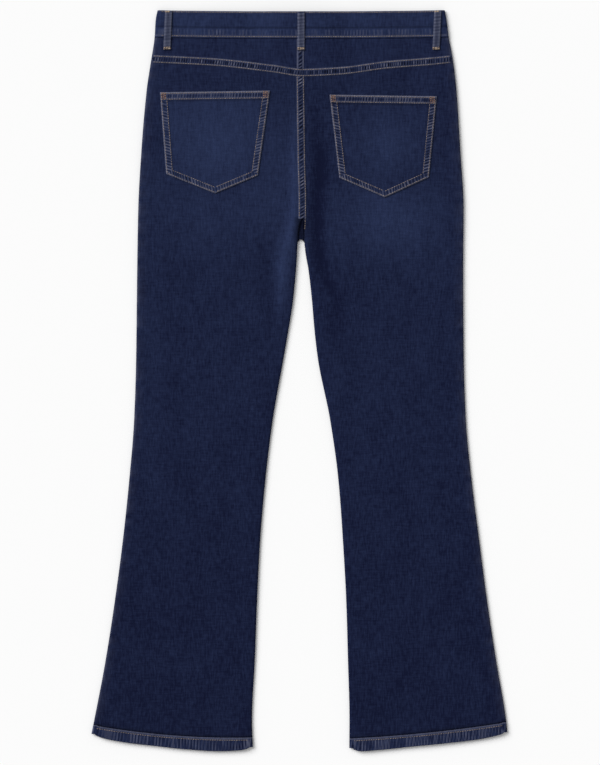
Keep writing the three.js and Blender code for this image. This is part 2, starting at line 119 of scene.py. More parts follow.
FOLDS = {
    "seat_trough": table("y x height width", [
        (40, 56, 0, 15), (87, 58, -0.7, 15), (116, 55, -1.1, 14), (145, 41, -1.5, 12),
        (189, 29, -1.8, 11), (244, 27, -2.1, 11), (315, 32, -2.1, 13), (350, 27, -1.4, 13),
        (410, 14, 0, 12),
    ]),
    "seam_ridge": table("y x height width", [
        (70, -27, 0, 10), (116, -24, 1.2, 10), (157, -21, 1.9, 9), (211, -12, 2.4, 8),
        (261, -5, 2.4, 8), (330, -6, 1.7, 8), (430, -5, 0, 8),
    ]),
    "thigh_trough": table("y x height width", [
        (90, -43, 0, 12), (131, -44, -0.7, 12), (200, -50, -0.8, 12), (240, -52, 0, 12),
    ]),
}
POCKETS = {
    "left": ((-202, 417.4), (-42.3, 419.6), (-60, 296.7), (-122.2, 270.8), (-193, 299)),
    "right": ((199.4, 411.6), (43.8, 413.8), (58, 293.4), (124, 265), (188, 294.3)),
}
POCKET_WEAR = {"left": 0.46, "right": 0.3}
POCKET_CORNERS = ("top_outer", "top_inner", "low_inner", "point", "low_outer")
POCKET_EDGES = (
    ("top_outer", "top_inner"), ("top_inner", "low_inner"), ("low_inner", "point"),
    ("point", "low_outer"), ("low_outer", "top_outer"),
)
LEGS = ("left", "right")
# Where the three stretches of the waistband start and end, from its outer end round to its inner one
BAND_UNDER_LEFT = (17, -188)
BAND_OVER = (-185, 192)
BAND_UNDER_RIGHT = (188, -28)
BAND_OVERLAP_RAMP = (21, 44)  # where the inner end of the waistband steps over the outer one
LOOP_WIDTH = 10.5
LOOP_LENGTH = 57.0
LOOP_START = 0.3
BACK_LOOPS = (
    ("loop_back_left", -189.4, -191.8), ("loop_back_centre", 2.6, 2.6), ("loop_back_right", 200.8, 198.2),
)
# How far a back loop stands over the panels at places down its length
LOOP_DOWN = (LOOP_START, 6, 20, 33, 43, 50, LOOP_LENGTH)
LOOP_RISE = (1.1, 1.6, 1.9, 1.7, 0.9, 0.4, 0.3)
# Middle and foot of each back loop, and whether a tack shows at its upper end
LOOP_TACKS = ((-191.4, 481.5, True), (2.6, 480.5, False), (198.6, 481.2, True))
FRONT_LOOPS = (("loop_front_left", -93.0), ("loop_front_right", 97.0))
FORK_SEAM = {"top": 238, "foot": 204, "half": 4.2, "upper": 3.7, "lower": 2.95}
STITCH_OFFSETS = {"yoke": 4.3, "seat": 4.4, "band_top": 1.9, "band_low": 2.6, "hem": 3.6}

# Length of the grid's steps along each cloth piece
PANEL_STEP = 3.1
YOKE_LIFT = 0.35  # how far the yoke's lower edge is above the panel's upper one
YOKE_STEP = 2.2
FRONT_STEP = 5.0
BAND_STEP = 1.3
HEM_STEP = 1.6

# Width, length in metres and area in square metres of the cloth of each piece, laid flat
FLATS = {
    "back": (0.300, 0.982, 0.248),
    "yoke": (0.245, 0.062, 0.0112),
    "front": (0.262, 1.006, 0.205),
    "waistband": (0.875, 0.042, 0.0350),
    "hem": (0.475, 0.028, 0.0124),
    "pocket": (0.160, 0.150, 0.0198),
    "yoke_seam": (0.437, 0.013, 0.0052),
    "seat_seam": (0.207, 0.0125, 0.00255),
    "yoke_centre_seam": (0.046, 0.0112, 0.0005),
    "fork_seam": (0.0102, 0.035, 0.000286),
    "loop": (0.0105, 0.057, 0.00059),
    "zip_tape": (0.026, 0.128, 0.0033),
}


# ---------------------------------------------------------------- the form of the garment

def sign(side):
    return -1.0 if side == "left" else 1.0


def curve(rows, key, column, at):
    """A smooth curve through one column of a table, without overshoot between rows."""
    x, y = rows[key], rows[column]
    step = np.diff(x)
    slope = np.diff(y) / step
    tangent = np.empty_like(y)
    tangent[0], tangent[-1] = slope[0], slope[-1]
    before, after = slope[:-1], slope[1:]
    total = np.where(before * after > 0, before + after, 1)
    tangent[1:-1] = np.where(before * after > 0, 2 * before * after / total, 0)
    place = np.clip(at, x[0], x[-1])
    n = np.clip(np.searchsorted(x, place, side="left") - 1, 0, len(x) - 2)
    t = (place - x[n]) / step[n]
    rise = y[n + 1] - y[n]
    into, out = tangent[n] * step[n], tangent[n + 1] * step[n]
    return y[n] + t * into + t**2 * (3 * rise - 2 * into - out) + t**3 * (into + out - 2 * rise)


def smooth(x, low, high):
    t = np.clip((x - low) / (high - low), 0, 1)
    return t * t * (3 - 2 * t)


def lerp(a, b, t):
    return a + (b - a) * t


def side_x(side, y):
    return curve(SIDES, "y", side, y)


def inner_x(side, y):
    seam = curve(SEAT_SEAM, "y", "x", y) + sign(side) * SEAM_GAP / 2
    return np.where(y >= CROTCH_Y, seam, curve(INSEAMS, "y", side, y))


def leg_share(side, x, y):
    outer = side_x(side, y)
    return np.clip((x - outer) / (inner_x(side, y) - outer), 0, 1)


def hem_seam_y(side, x):
    share = leg_share(side, x, HEM_SEAM_LEVEL)
    start, slope, bow = HEM_SEAM[side]
    return start + slope * share + bow * share**2


def hem_edge_y(side, x):
    return curve(HEM_EDGE, "share", side, leg_share(side, x, HEM_SEAM_LEVEL))


def yoke_seam_y(x):
    return curve(YOKE_SEAM, "x", "y", x)


def band_seam_y(x):
    return 495 + 2.5 * (x / 210) ** 2


def band_edge_y(x):
    return 534.5 + 2 * (x / 205) ** 2


def front_dip(x):
    return FRONT_DIP * np.maximum(0, 1 - (x / 185) ** 2) ** 2


def lower_y(side, x, level):
    down = (HEM_SEAM_LEVEL - level) / (HEM_SEAM_LEVEL - HEM_EDGE_LEVEL)
    hem = lerp(hem_seam_y(side, x), hem_edge_y(side, x), down)
    bend = 1 - smooth(level, HEM_SEAM_LEVEL, BEND_ABOVE_HEM)
    leg = level + bend * (hem_seam_y(side, x) - HEM_SEAM_LEVEL)
    return np.where(level < HEM_SEAM_LEVEL, hem, leg)


def back_y(side, x, level):
    """The place of a level on the back, at a distance across the garment."""
    band = lerp(band_seam_y(x), band_edge_y(x), (level - BAND_LEVEL) / (TOP_LEVEL - BAND_LEVEL))
    yoke = lerp(yoke_seam_y(x), band_seam_y(x), (level - YOKE_LEVEL) / (BAND_LEVEL - YOKE_LEVEL))
    seat = level + smooth(level, BEND_BELOW_SEAT, YOKE_LEVEL) * (yoke_seam_y(x) - YOKE_LEVEL)
    upper = np.where(level >= BAND_LEVEL, band, np.where(level >= YOKE_LEVEL, yoke, seat))
    return np.where(level > BEND_BELOW_SEAT, upper, lower_y(side, x, level))


def front_y(side, x, level):
    """The same on the front, which is cut lower at the middle of the waist."""
    bend = smooth(level, BEND_BELOW_SEAT, BAND_LEVEL)
    seat = level + bend * (band_seam_y(x) - front_dip(x) - BAND_LEVEL)
    upper = np.where(level >= BAND_LEVEL, back_y(side, x, level) - front_dip(x), seat)
    return np.where(level > BEND_BELOW_SEAT, upper, lower_y(side, x, level))


def rest_height(x, y):
    return smooth(y, 380, 455) * curve(FRONT_REST, "reach", "rise", np.abs(x))


def fold_height(rows, x, y):
    across = (x - curve(rows, "y", "x", y)) / curve(rows, "y", "width", y)
    return curve(rows, "y", "height", y) * np.exp(-across * across)


def ripples():
    """Slow uneven waves that cloth keeps when it is smoothed out by hand."""
    rng = np.random.default_rng(11)
    count = 16
    length = rng.uniform(45, 150, count)
    turn = rng.uniform(-0.9, 0.9, count)
    wave = 2 * np.pi / length
    return wave * np.cos(turn), wave * np.sin(turn), rng.uniform(0, 6.28, count)


RIPPLES = ripples()


def ripple(x, y):
    across, along, start = RIPPLES
    total = sum(np.sin(a * x + b * y + s) for a, b, s in zip(across, along, start))
    return total / len(start)


def back_height(x, y):
    x, y = np.broadcast_arrays(np.asarray(x, float), np.asarray(y, float))
    reach = np.abs(x - OVERLAP_X)
    overlap = OVERLAP_RISE * (1 - smooth(reach, OVERLAP_FLAT, OVERLAP_FLAT + OVERLAP_FADE))
    folds = sum(fold_height(rows, x, y) for rows in FOLDS.values())
    scale = bpy.context.scene.jeans_sizes.fold_scale
    loose = bpy.context.scene.jeans_sizes.ripple_height / MM
    plain = curve(LOFT, "y", "height", y) + rest_height(x, y) + overlap * smooth(y, 380, 455)
    return plain + scale * folds + loose * ripple(x, y)


def stack(x, y, z):
    return np.stack(np.broadcast_arrays(x, y, z), axis=-1)


def on_back(x, y, wall, proud):
    """Points on the outer and the inner face of cloth over the back."""
    top = back_height(x, y) + proud
    return stack(x, y, top), stack(x, y, top - wall)


def on_front(x, y, wall, lift=0.0):
    low = rest_height(x, y) + lift
    return stack(x, y, low), stack(x, y, low + wall)


def round_fold(edge, inward, run, last_turn, underlap, y, wall, proud):
    """Points round a side fold, by the run of cloth from its sewn edge underneath."""
    edge, run, last_turn, underlap, y = np.broadcast_arrays(edge, run, last_turn, underlap, y)
    turn_run = FOLD_RUN * last_turn / 180
    reach = np.where(last_turn < 90, FOLD_REACH * np.sin(np.radians(last_turn)), FOLD_REACH)
    under = run < underlap
    turning = ~under & (run < underlap + turn_run)
    turn = np.radians(last_turn * (1 - (run - underlap) / np.maximum(turn_run, 1e-6)))
    start = edge + inward * reach
    top = back_height(start, y) + proud
    middle = (top + rest_height(start, y)) / 2
    half = top - middle
    fold_out = stack(start - inward * FOLD_REACH * np.sin(turn), y, middle + half * np.cos(turn))
    fold_in = stack(
        start - inward * (FOLD_REACH - wall) * np.sin(turn), y, middle + (half - wall) * np.cos(turn))
    flat_out, flat_in = on_back(
        edge + inward * (reach + run - underlap - turn_run), y, wall, proud)
    low_out, low_in = on_front(edge + inward * (FOLD_REACH + underlap - run), y, wall)
    pick_under, pick_turn = under[..., None], turning[..., None]
    outer = np.where(pick_under, low_out, np.where(pick_turn, fold_out, flat_out))
    inner = np.where(pick_under, low_in, np.where(pick_turn, fold_in, flat_in))
    return outer, inner


def inner_turn(level):
    upper = 75 * (1 - smooth(level, FORK_Y, CROTCH_Y))
    lower = 75 + 105 * (1 - np.clip((level - 195) / (FORK_Y - 195), 0, 1))
    return np.where(level >= FORK_Y, upper, lower)


def inner_underlap(level):
    return UNDERLAP * (1 - np.clip((level - 187) / 8, 0, 1))


def back_sheet(side, levels, columns):
    """Outer and inner points of a piece over the back of one leg or half of the seat."""
    level = np.asarray(levels, float)[:, None]
    inward = -sign(side)
    outer_y = back_y(side, side_x(side, level), level)
    side_run = np.array([0, 2.7, 5.4, 8, 8.7, 9.4, 10.2, 11, 12, 13, 14, 15, 16])[None, :]
    round_side = round_fold(
        side_x(side, outer_y), inward, side_run, 180.0, UNDERLAP, outer_y, DENIM, 0)
    inner = inner_x(side, level)
    share = np.linspace(0.93, 0.085, columns)[None, :]
    x = inner + share * (side_x(side, level) - inner)
    middle = on_back(x, back_y(side, x, level), DENIM, 0)
    inner_y = back_y(side, inner, level)
    wrapped = side_run[:, ::-1]
    spread = 16 * (1 - np.linspace(0, 1, wrapped.shape[1]))[None, :]
    run = lerp(wrapped, spread, 1 - inner_underlap(level) / UNDERLAP)
    round_inner = round_fold(
        inner_x(side, inner_y), -inward, run, inner_turn(level), inner_underlap(level),
        inner_y, DENIM, 0)
    return tuple(np.concatenate(parts, axis=1) for parts in zip(round_side, middle, round_inner))


def front_sheet(side, levels, columns):
    level = np.asarray(levels, float)[:, None]
    edge_y = front_y(side, side_x(side, level), level)
    outer = side_x(side, edge_y) - sign(side) * (FOLD_REACH + UNDERLAP + SEAM_GAP)
    y = front_y(side, inner_x(side, level), level)
    leg = inner_x(side, y) + sign(side) * (FOLD_REACH + SEAM_GAP + inner_underlap(level))
    middle = FRONT_SEAM_X + sign(side) * SEAM_GAP / 2
    along = np.clip((level - 195) / (FORK_Y - 195), 0, 1)
    inner = lerp(leg, middle, along**2)
    x = lerp(outer, inner, np.linspace(0, 1, columns)[None, :])
    near_fork = smooth(level, FORK_Y, FORK_Y + 8) * (1 - smooth(level, CROTCH_Y, CROTCH_Y + 12))
    pad = FORK_PAD * near_fork * (1 - smooth(np.abs(x - FRONT_SEAM_X), 5, 9))
    return on_front(x, front_y(side, x, level), DENIM + pad)


# ---------------------------------------------------------------- wear of the cloth, with painted shade and highlight on its folds: 0 dark, 1 pale

def blob(x, y, at_x, at_y, wide, tall):
    return np.exp(-((x - at_x) / wide) ** 2 - ((y - at_y) / tall) ** 2)


WASH_LEVELS = table("y wash", [
    (-538, 0.15), (-400, 0.16), (-200, 0.2), (0, 0.23), (150, 0.26), (300, 0.28), (440, 0.28), (500, 0.32),
])
WASH_PLACES = table("x y wide tall wash", [
    (-125, 245, 70, 55, 0.18), (135, 232, 75, 52, 0.36), (-38, 300, 34, 80, 0.24),
    (-26, 165, 13, 70, 0.2), (-205, 300, 25, 200, 0.05), (90, 330, 40, 70, 0.06),
    (-120, 30, 50, 160, 0.04), (130, 10, 60, 150, 0.03), (-215, -20, 18, 220, 0.08),
])


def wash(x, y):
    """How far the indigo is washed out on the back, with painted highlight on the seam ridge and painted shade
    in the seat and thigh troughs.
    """
    total = curve(WASH_LEVELS, "y", "wash", y)
    for n in range(len(WASH_PLACES["x"])):
        place = {name: column[n] for name, column in WASH_PLACES.items()}
        total = total + place["wash"] * blob(x, y, place["x"], place["y"], place["wide"], place["tall"])
    ridge = fold_height(FOLDS["seam_ridge"], x, y) / 2.4
    trough = -fold_height(FOLDS["seat_trough"], x, y) / 2.1
    thigh = -fold_height(FOLDS["thigh_trough"], x, y) / 0.8
    # Painted light: the seam ridge is made lighter and the troughs darker, where shade falls on the folds.
    return total + 0.42 * ridge - 0.36 * trough - 0.1 * thigh


def uneven(seed, spacing, at):
    """Smooth random numbers from -1 to 1 along a line, one new one each spacing."""
    rng = np.random.default_rng(seed)
    marks = rng.uniform(-1, 1, 1024)
    place = np.abs(np.asarray(at, float)) / spacing + 7 * (np.asarray(at) < 0)
    n = np.floor(place).astype(int) % 1023
    t = place - np.floor(place)
    return lerp(marks[n], marks[n + 1], t * t * (3 - 2 * t))


def puckers(seed, spacing, along, across=0.0, slant=0.0):
    """Uneven ladder of raised and sunk cloth between two stitch rows."""
    drift = 2.5 * uneven(seed, 4 * spacing, along)
    fine = np.cos(2 * np.pi * (along + slant * across) / spacing + drift)
    strength = 0.65 + 0.35 * uneven(seed + 1, 3 * spacing, along)
    return fine * strength + 0.35 * uneven(seed + 2, spacing, along)


# ---------------------------------------------------------------- meshes

def add_object(name, mesh, material, slot):
    piece = bpy.data.objects.new(name, mesh)
    bpy.context.scene.collection.objects.link(piece)
    mesh.materials.append(material)
    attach(piece, "root")
    return piece


def make_mesh(name, points, faces, paint):
    """A smooth mesh from points in millimetres, with wear values for its material, which also carry painted
    shade and highlight.
    """
    mesh = bpy.data.meshes.new(name)
    mesh.vertices.add(len(points))
    mesh.vertices.foreach_set("co", (points * MM).astype(np.float32).ravel())
    corners = faces.shape[1]
    mesh.loops.add(faces.size)
    mesh.loops.foreach_set("vertex_index", faces.astype(np.int32).ravel())
    mesh.polygons.add(len(faces))
    mesh.polygons.foreach_set("loop_start", np.arange(0, faces.size, corners, dtype=np.int32))
    mesh.update(calc_edges=True)
    mesh.validate()
    mesh.shade_smooth()
    for attribute, values in paint.items():
        layer = mesh.attributes.new(attribute, "FLOAT", "POINT")
        layer.data.foreach_set("value", np.asarray(values, np.float32).ravel())
    return mesh


def facing_out(points, faces):
    """The same faces, turned round where they would enclose a negative volume."""
    a, b, c, d = (points[faces[:, n]] for n in range(4))
    volume = np.einsum("ij,ij->i", a, np.cross(b, c)) + np.einsum("ij,ij->i", a, np.cross(c, d))
    return faces if volume.sum() > 0 else faces[:, ::-1]


def cloth(name, sheet, material, slot, ring=False, wear_and_shade=0.0, rub=0.0):
    """A thin closed shell from a grid of outer points and the inner points under them."""
    outer, inner = sheet
    rows, columns = outer.shape[:2]
    index = np.arange(rows * columns).reshape(rows, columns)
    if ring:
        index = np.concatenate([index, index[:, :1]], axis=1)
    under = index + rows * columns

    def quads(grid):
        corners = [grid[:-1, :-1], grid[:-1, 1:], grid[1:, 1:], grid[1:, :-1]]
        return np.stack(corners, axis=-1).reshape(-1, 4)

    def border(line, low):
        return np.stack([line[1:], line[:-1], low[:-1], low[1:]], axis=-1)

    parts = [quads(index), quads(under)[:, ::-1]]
    parts += [border(index[0], under[0]), border(index[-1][::-1], under[-1][::-1])]
    if not ring:
        parts += [border(index[::-1, 0], under[::-1, 0]), border(index[:, -1], under[:, -1])]
    points = np.concatenate([outer.reshape(-1, 3), inner.reshape(-1, 3)])
    faces = facing_out(points, np.concatenate(parts))
    paint = {}
    for key, value in (("wash", wear_and_shade), ("rub", rub)):
        face = np.broadcast_to(value, (rows, columns)).ravel()
        paint[key] = np.concatenate([face, np.zeros_like(face)])
    return add_object(name, make_mesh(name, points, faces, paint), material, slot)


# Each stitch: place along it, thickness and lift, as shares of its length and its thread
STITCH_SHAPE = (
    (-0.5, 0.35, -0.35), (-0.3, 0.95, 0.1), (0.0, 1.0, 0.25), (0.3, 0.95, 0.1), (0.5, 0.35, -0.35),
)
STITCH_SIDES = 6


def stitch_faces():
    """Corners of the faces round one stitch, and of the two halves of each end."""
    sides, last = STITCH_SIDES, (len(STITCH_SHAPE) - 1) * STITCH_SIDES
    faces = [
        (ring + k, ring + sides + k, ring + sides + (k + 1) % sides, ring + (k + 1) % sides)
        for ring in range(0, last, sides) for k in range(sides)
    ]
    faces += [(0, 1, 2, 3), (3, 4, 5, 0)]
    faces += [(last, last + 3, last + 2, last + 1), (last, last + 5, last + 4, last + 3)]
    return np.array(faces)


def stitch_rows(name, rows, material, slot, length=2.9, gap=0.6, thick=0.85, seed=3):
    """Rows of topstitching as one joined mesh: each stitch is a short thread with sunk ends."""
    rng = np.random.default_rng(seed)
    ring = np.radians(np.arange(0, 360, 360 // STITCH_SIDES))
    corners = len(STITCH_SHAPE) * STITCH_SIDES
    body = stitch_faces()
    points, faces, tone = [], [], []
    for line in rows:
        line = np.asarray(line, float)
        run = np.concatenate([[0], np.cumsum(np.linalg.norm(np.diff(line, axis=0), axis=1))])
        starts = np.arange(length / 2 + 0.3, run[-1] - length / 2, length + gap)
        for start in starts:
            size = length * rng.uniform(0.9, 1.05)
            at = start + rng.normal(0, 0.08)
            first, last = (
                np.array([np.interp(at + k * size, run, line[:, n]) for n in range(3)]) for k in (-0.5, 0.5))
            middle, along = (first + last) / 2, last - first
            along = along / max(np.linalg.norm(along), 1e-6)
            across = np.cross((0, 0, 1), along)
            across /= max(np.linalg.norm(across), 1e-6)
            up = np.cross(along, across)
            wide = thick * rng.uniform(0.9, 1.1) / 2
            round_thread = np.cos(ring)[:, None] * across + 0.75 * np.sin(ring)[:, None] * up
            faces.append(body + len(points) * corners)
            points.append(np.concatenate([
                middle + along * (k * size) + up * (lift * thick) + r * wide * round_thread
                for k, r, lift in STITCH_SHAPE
            ]))
            tone.append(np.full(corners, rng.uniform(-0.5, 0.5)))
    points, faces = np.concatenate(points), np.concatenate(faces)
    mesh = make_mesh(name, points, faces, {"wash": np.zeros(len(points)), "rub": np.concatenate(tone)})
    return add_object(name, mesh, material, slot)


def laid(piece, cut, rests_on):
    """Looks up a piece's flat size and the pieces it is laid on, but records neither."""
    width, length, area = FLATS[cut]
    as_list(rests_on)


def raised(sheet, amount):
    """The same sheet with its outer face moved outwards by an amount."""
    outer, inner = sheet
    out = outer - inner
    out = out / np.maximum(np.linalg.norm(out, axis=-1, keepdims=True), 1e-6)
    return outer + np.broadcast_to(amount, outer.shape[:2])[..., None] * out, inner


# ---------------------------------------------------------------- materials

def linear(colour):
    """A colour as its light values, from the 0 to 255 scale it is mixed on."""
    c = np.asarray(colour, float) / 255
    return tuple(np.where(c <= 0.04045, c / 12.92, ((c + 0.055) / 1.055) ** 2.4)) + (1.0,)


class Finish:
    """A material that is put together node by node."""

    def __init__(self, name):
        self.material = bpy.data.materials.new(name)
        self.material.use_nodes = True
        self.tree = self.material.node_tree
        self.tree.nodes.clear()

    def add(self, kind, inputs, **settings):
        node = self.tree.nodes.new("ShaderNode" + kind)
        for key, value in settings.items():
            setattr(node, key, value)
        for key, value in inputs.items():
            if isinstance(value, bpy.types.NodeSocket):
                self.tree.links.new(value, node.inputs[key])
            else:
                node.inputs[key].default_value = value
        return node

    def math(self, operation, a, b=0.0, clamp=False):
        return self.add("Math", {0: a, 1: b}, operation=operation, use_clamp=clamp).outputs[0]

    def mix(self, share, a, b):
        return self.add("Mix", {0: share, 6: a, 7: b}, data_type="RGBA").outputs[2]

    def paint(self, name):
        return self.add("Attribute", {}, attribute_name=name).outputs["Fac"]

    def place(self):
        return self.add("TexCoord", {}).outputs["Object"]

    def noise(self, at, stretch, detail):
        moved = self.add("Mapping", {"Vector": at, "Scale": stretch}).outputs[0]
        return self.add("TexNoise", {"Vector": moved, "Scale": 1.0, "Detail": detail}).outputs["Fac"]

    def vary(self, value, strength):
        """A value from 0 to 1 turned into a change to either side of nothing."""
        return self.math("MULTIPLY", self.math("SUBTRACT", value, 0.5), strength)

    def close(self, inputs):
        shader = self.add("BsdfPrincipled", inputs)
        self.add("OutputMaterial", {"Surface": shader.outputs[0]})
        return self.material


# Waves of 0.55 mm, turned as the twill line runs
TWILL_SCALE = 571.0
TWILL_TURN = math.radians(32)
# Near-black of painted shade, darker than the unwashed cloth
CREASE_SHADE = (9, 11, 22)


def denim(name, dark, light, pale, slub):
    """Twill with a slubby warp, washed from dark to light, rubbed pale, and darkened towards near-black by
    painted shade in creases, grooves and under edges.
    """
    finish = Finish(name)
    at = finish.place()
    warp = finish.noise(at, (480, 90, 480), 3)
    cross = finish.noise(at, (80, 420, 420), 2)
    cloud = finish.noise(at, (30, 16, 30), 3)
    turned = finish.add("Mapping", {"Vector": at, "Rotation": (0, 0, TWILL_TURN)})
    twill = finish.add(
        "TexWave", {"Vector": turned.outputs[0], "Scale": TWILL_SCALE, "Distortion": 0.4, "Detail": 1.0},
        wave_type="BANDS", bands_direction="X").outputs["Fac"]
    line = finish.vary(warp, slub)
    for value, strength in ((cross, 0.5), (cloud, 0.28), (twill, 0.12)):
        line = finish.math("ADD", line, finish.vary(value, strength))
    # The wash attribute also carries painted shade in the fold troughs and painted highlight on the seam
    # ridge.
    worn = finish.math("ADD", finish.paint("wash"), line, clamp=True)
    base = finish.mix(worn, linear(dark), linear(light))
    rub = finish.paint("rub")
    rubbed = finish.math("MULTIPLY", rub, finish.math("ADD", warp, 0.5), clamp=True)
    bleached = finish.mix(rubbed, base, linear(pale))
    # Negative rub values are painted shade: they mix the colour towards the near-black of the painted shade.
    crease_shade = finish.math("MULTIPLY", rub, -1.0, clamp=True)
    colour = finish.mix(crease_shade, bleached, linear(CREASE_SHADE))
    height = finish.math("ADD", finish.math("MULTIPLY", twill, 0.5), warp)
    bump = finish.add("Bump", {"Height": height, "Strength": 0.35, "Distance": 0.0003})
    return finish.close({
        "Base Color": colour, "Roughness": 0.88, "Specular IOR Level": 0.05,
        "Sheen Weight": 0.01, "Sheen Roughness": 0.5, "Normal": bump.outputs[0]})


def thread(name, colour, worn):
    """Twisted cotton thread, each stitch a little lighter or darker."""
    finish = Finish(name)
    at = finish.place()
    fuzz = finish.noise(at, (900, 900, 900), 2)
    share = finish.math("ADD", finish.paint("rub"), 0.5)
    share = finish.math("ADD", share, finish.math("SUBTRACT", fuzz, 0.5), clamp=True)
    bump = finish.add("Bump", {"Height": fuzz, "Strength": 0.4, "Distance": 0.0002})
    return finish.close({
        "Base Color": finish.mix(share, linear(colour), linear(worn)), "Roughness": 0.7,
        "Specular IOR Level": 0.3, "Normal": bump.outputs[0]})


def metal(name, colour, dull):
    """Brushed metal with darker tarnish in patches."""
    finish = Finish(name)
    cloud = finish.noise(finish.place(), (300, 300, 300), 3)
    bump = finish.add("Bump", {"Height": cloud, "Strength": 0.2, "Distance": 0.0002})
    return finish.close({
        "Base Color": finish.mix(cloud, linear(colour), linear(dull)), "Metallic": 1.0,
        "Roughness": 0.38, "Normal": bump.outputs[0]})


FINISHES = {}


def finish_for(name):
    """Each finish is made once and shared by the pieces that are cut from it."""
    if name in FINISHES:
        return FINISHES[name]
    colours = bpy.context.scene.jeans_colours

    def chosen(key):
        return tuple(255 * channel for channel in getattr(colours, key))

    cloth_colours = (chosen("indigo"), chosen("washed"), chosen("rubbed"))
    loop_colours = (chosen("loop"), chosen("loop_worn"), chosen("rubbed"))
    FINISHES[name] = {
        "denim": lambda: denim("indigo_denim", *cloth_colours, 0.85),
        "band": lambda: denim("waistband_denim", *cloth_colours, 1.0),
        "loop": lambda: denim("loop_denim", *loop_colours, 0.9),
        "tan": lambda: thread("tan_thread", chosen("thread"), chosen("thread_worn")),
        "orange": lambda: thread("orange_thread", (116, 86, 72), (156, 122, 102)),
        "cream": lambda: thread("cream_thread", (132, 112, 96), (184, 164, 142)),
        "tape": lambda: thread("zip_tape", (26, 28, 38), (42, 44, 56)),
        "brass": lambda: metal("aged_brass", (150, 118, 74), (74, 58, 40)),
    }[name]()
    return FINISHES[name]


# ---------------------------------------------------------------- panels

def levels(top, bottom, step):
    return np.linspace(top, bottom, max(2, int(round(abs(top - bottom) / step)) + 1))


def panel_rub_and_shade(side, sheet):
    """Painted shadow lines where a panel meets the hem seam, painted shade in the fork between the legs, and
    pale worn edges along the side folds.
    """
    x, y = sheet[0][..., 0], sheet[0][..., 1]
    over_hem = y - hem_seam_y(side, x)
    # Painted shadow: a dark line just above the hem's upper edge.
    rub = -0.55 * np.exp(-((over_hem - 1) / 2.2) ** 2)
    edge = np.abs(x - side_x(side, y))
    rub = rub + 0.22 * np.exp(-(edge / 3.5) ** 2) * (0.6 + 0.5 * uneven(5, 9, y))
    # Painted shade: the cloth seen in the fork between the back panels is darkened as if in shade.
    dark = smooth(y, FORK_Y - 2, FORK_Y + 8) * (1 - smooth(y, CROTCH_Y - 4, CROTCH_Y + 4))
    return rub - 0.75 * dark * np.exp(-((x - 2) / 7) ** 2)


def build_back_piece(kind, side, rows, columns):
    """A back panel or a yoke: both are cloth over the back, wrapped round the side fold."""
    name = f"{kind}_{side}"
    sheet = back_sheet(side, rows, columns)
    x, y = sheet[0][..., 0], sheet[0][..., 1]
    piece = cloth(name, sheet, finish_for("denim"), "denim", wear_and_shade=wash(x, y), rub=panel_rub_and_shade(side, sheet))
    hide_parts(name)
    laid(piece, kind, ["front_" + side])


def build_backs():
    for side in LEGS:
        build_back_piece("back", side, levels(YOKE_LEVEL, HEM_SEAM_LEVEL, PANEL_STEP), 84)


def build_yokes():
    for side in LEGS:
        build_back_piece("yoke", side, levels(BAND_LEVEL, YOKE_LEVEL + YOKE_LIFT, YOKE_STEP), 84)


def build_fronts():
    for side in LEGS:
        sheet = front_sheet(side, levels(BAND_LEVEL, HEM_SEAM_LEVEL, FRONT_STEP), 52)
        # Half of the back's painted shadow and shade: the line over the hem and the dark fork.
        rub = 0.5 * panel_rub_and_shade(side, sheet)
        piece = cloth(f"front_{side}", sheet, finish_for("denim"), "denim", wear_and_shade=0.15, rub=rub)
        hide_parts(f"front_{side}")
        laid(piece, "front", ["ground"])


# ---------------------------------------------------------------- waistband and hems

def on_fold(edge, inward, turn, y, wall, proud):
    """Points round a full side fold at given turns, 0 on the back and 180 on the front."""
    start = edge + inward * FOLD_REACH
    top = back_height(start, y) + proud
    middle = (top + rest_height(start, y)) / 2
    half = top - middle
    out, up = np.sin(np.radians(turn)), np.cos(np.radians(turn))
    return (stack(start - inward * FOLD_REACH * out, y, middle + half * up),
            stack(start - inward * (FOLD_REACH - wall) * out, y, middle + (half - wall) * up))


def joined(parts):
    return tuple(np.concatenate(faces, axis=1) for faces in zip(*parts))


def band_sheet():
    level = levels(TOP_LEVEL, BAND_LEVEL, BAND_STEP)[:, None]

    def front(x):
        return front_y("left", x, level)

    def back(x):
        return back_y("left", x, level)

    edges = {}
    for side in LEGS:
        y = back(side_x(side, level))
        edges[side] = (side_x(side, y), -sign(side), y)

    def fold(side, turn):
        edge, inward, y = edges[side]
        return on_fold(edge, inward, turn, y, BAND_WALL, BAND_PROUD)

    def inside(x):
        return (BAND_WALL + SEAM_GAP) * (1 - smooth(x, *BAND_OVERLAP_RAMP))

    under = np.linspace(*BAND_UNDER_LEFT, 74)[None, :]
    over = np.linspace(*BAND_OVER, 168)[None, :]
    under_right = np.linspace(*BAND_UNDER_RIGHT, 80)[None, :]
    turn = np.linspace(180, 0, 11)[None, :]
    return joined([
        on_front(under, front(under), BAND_WALL),
        fold("left", turn),
        on_back(over, back(over), BAND_WALL, BAND_PROUD),
        fold("right", turn[:, ::-1]),
        on_front(under_right, front(under_right), BAND_WALL, inside(under_right)),
    ])


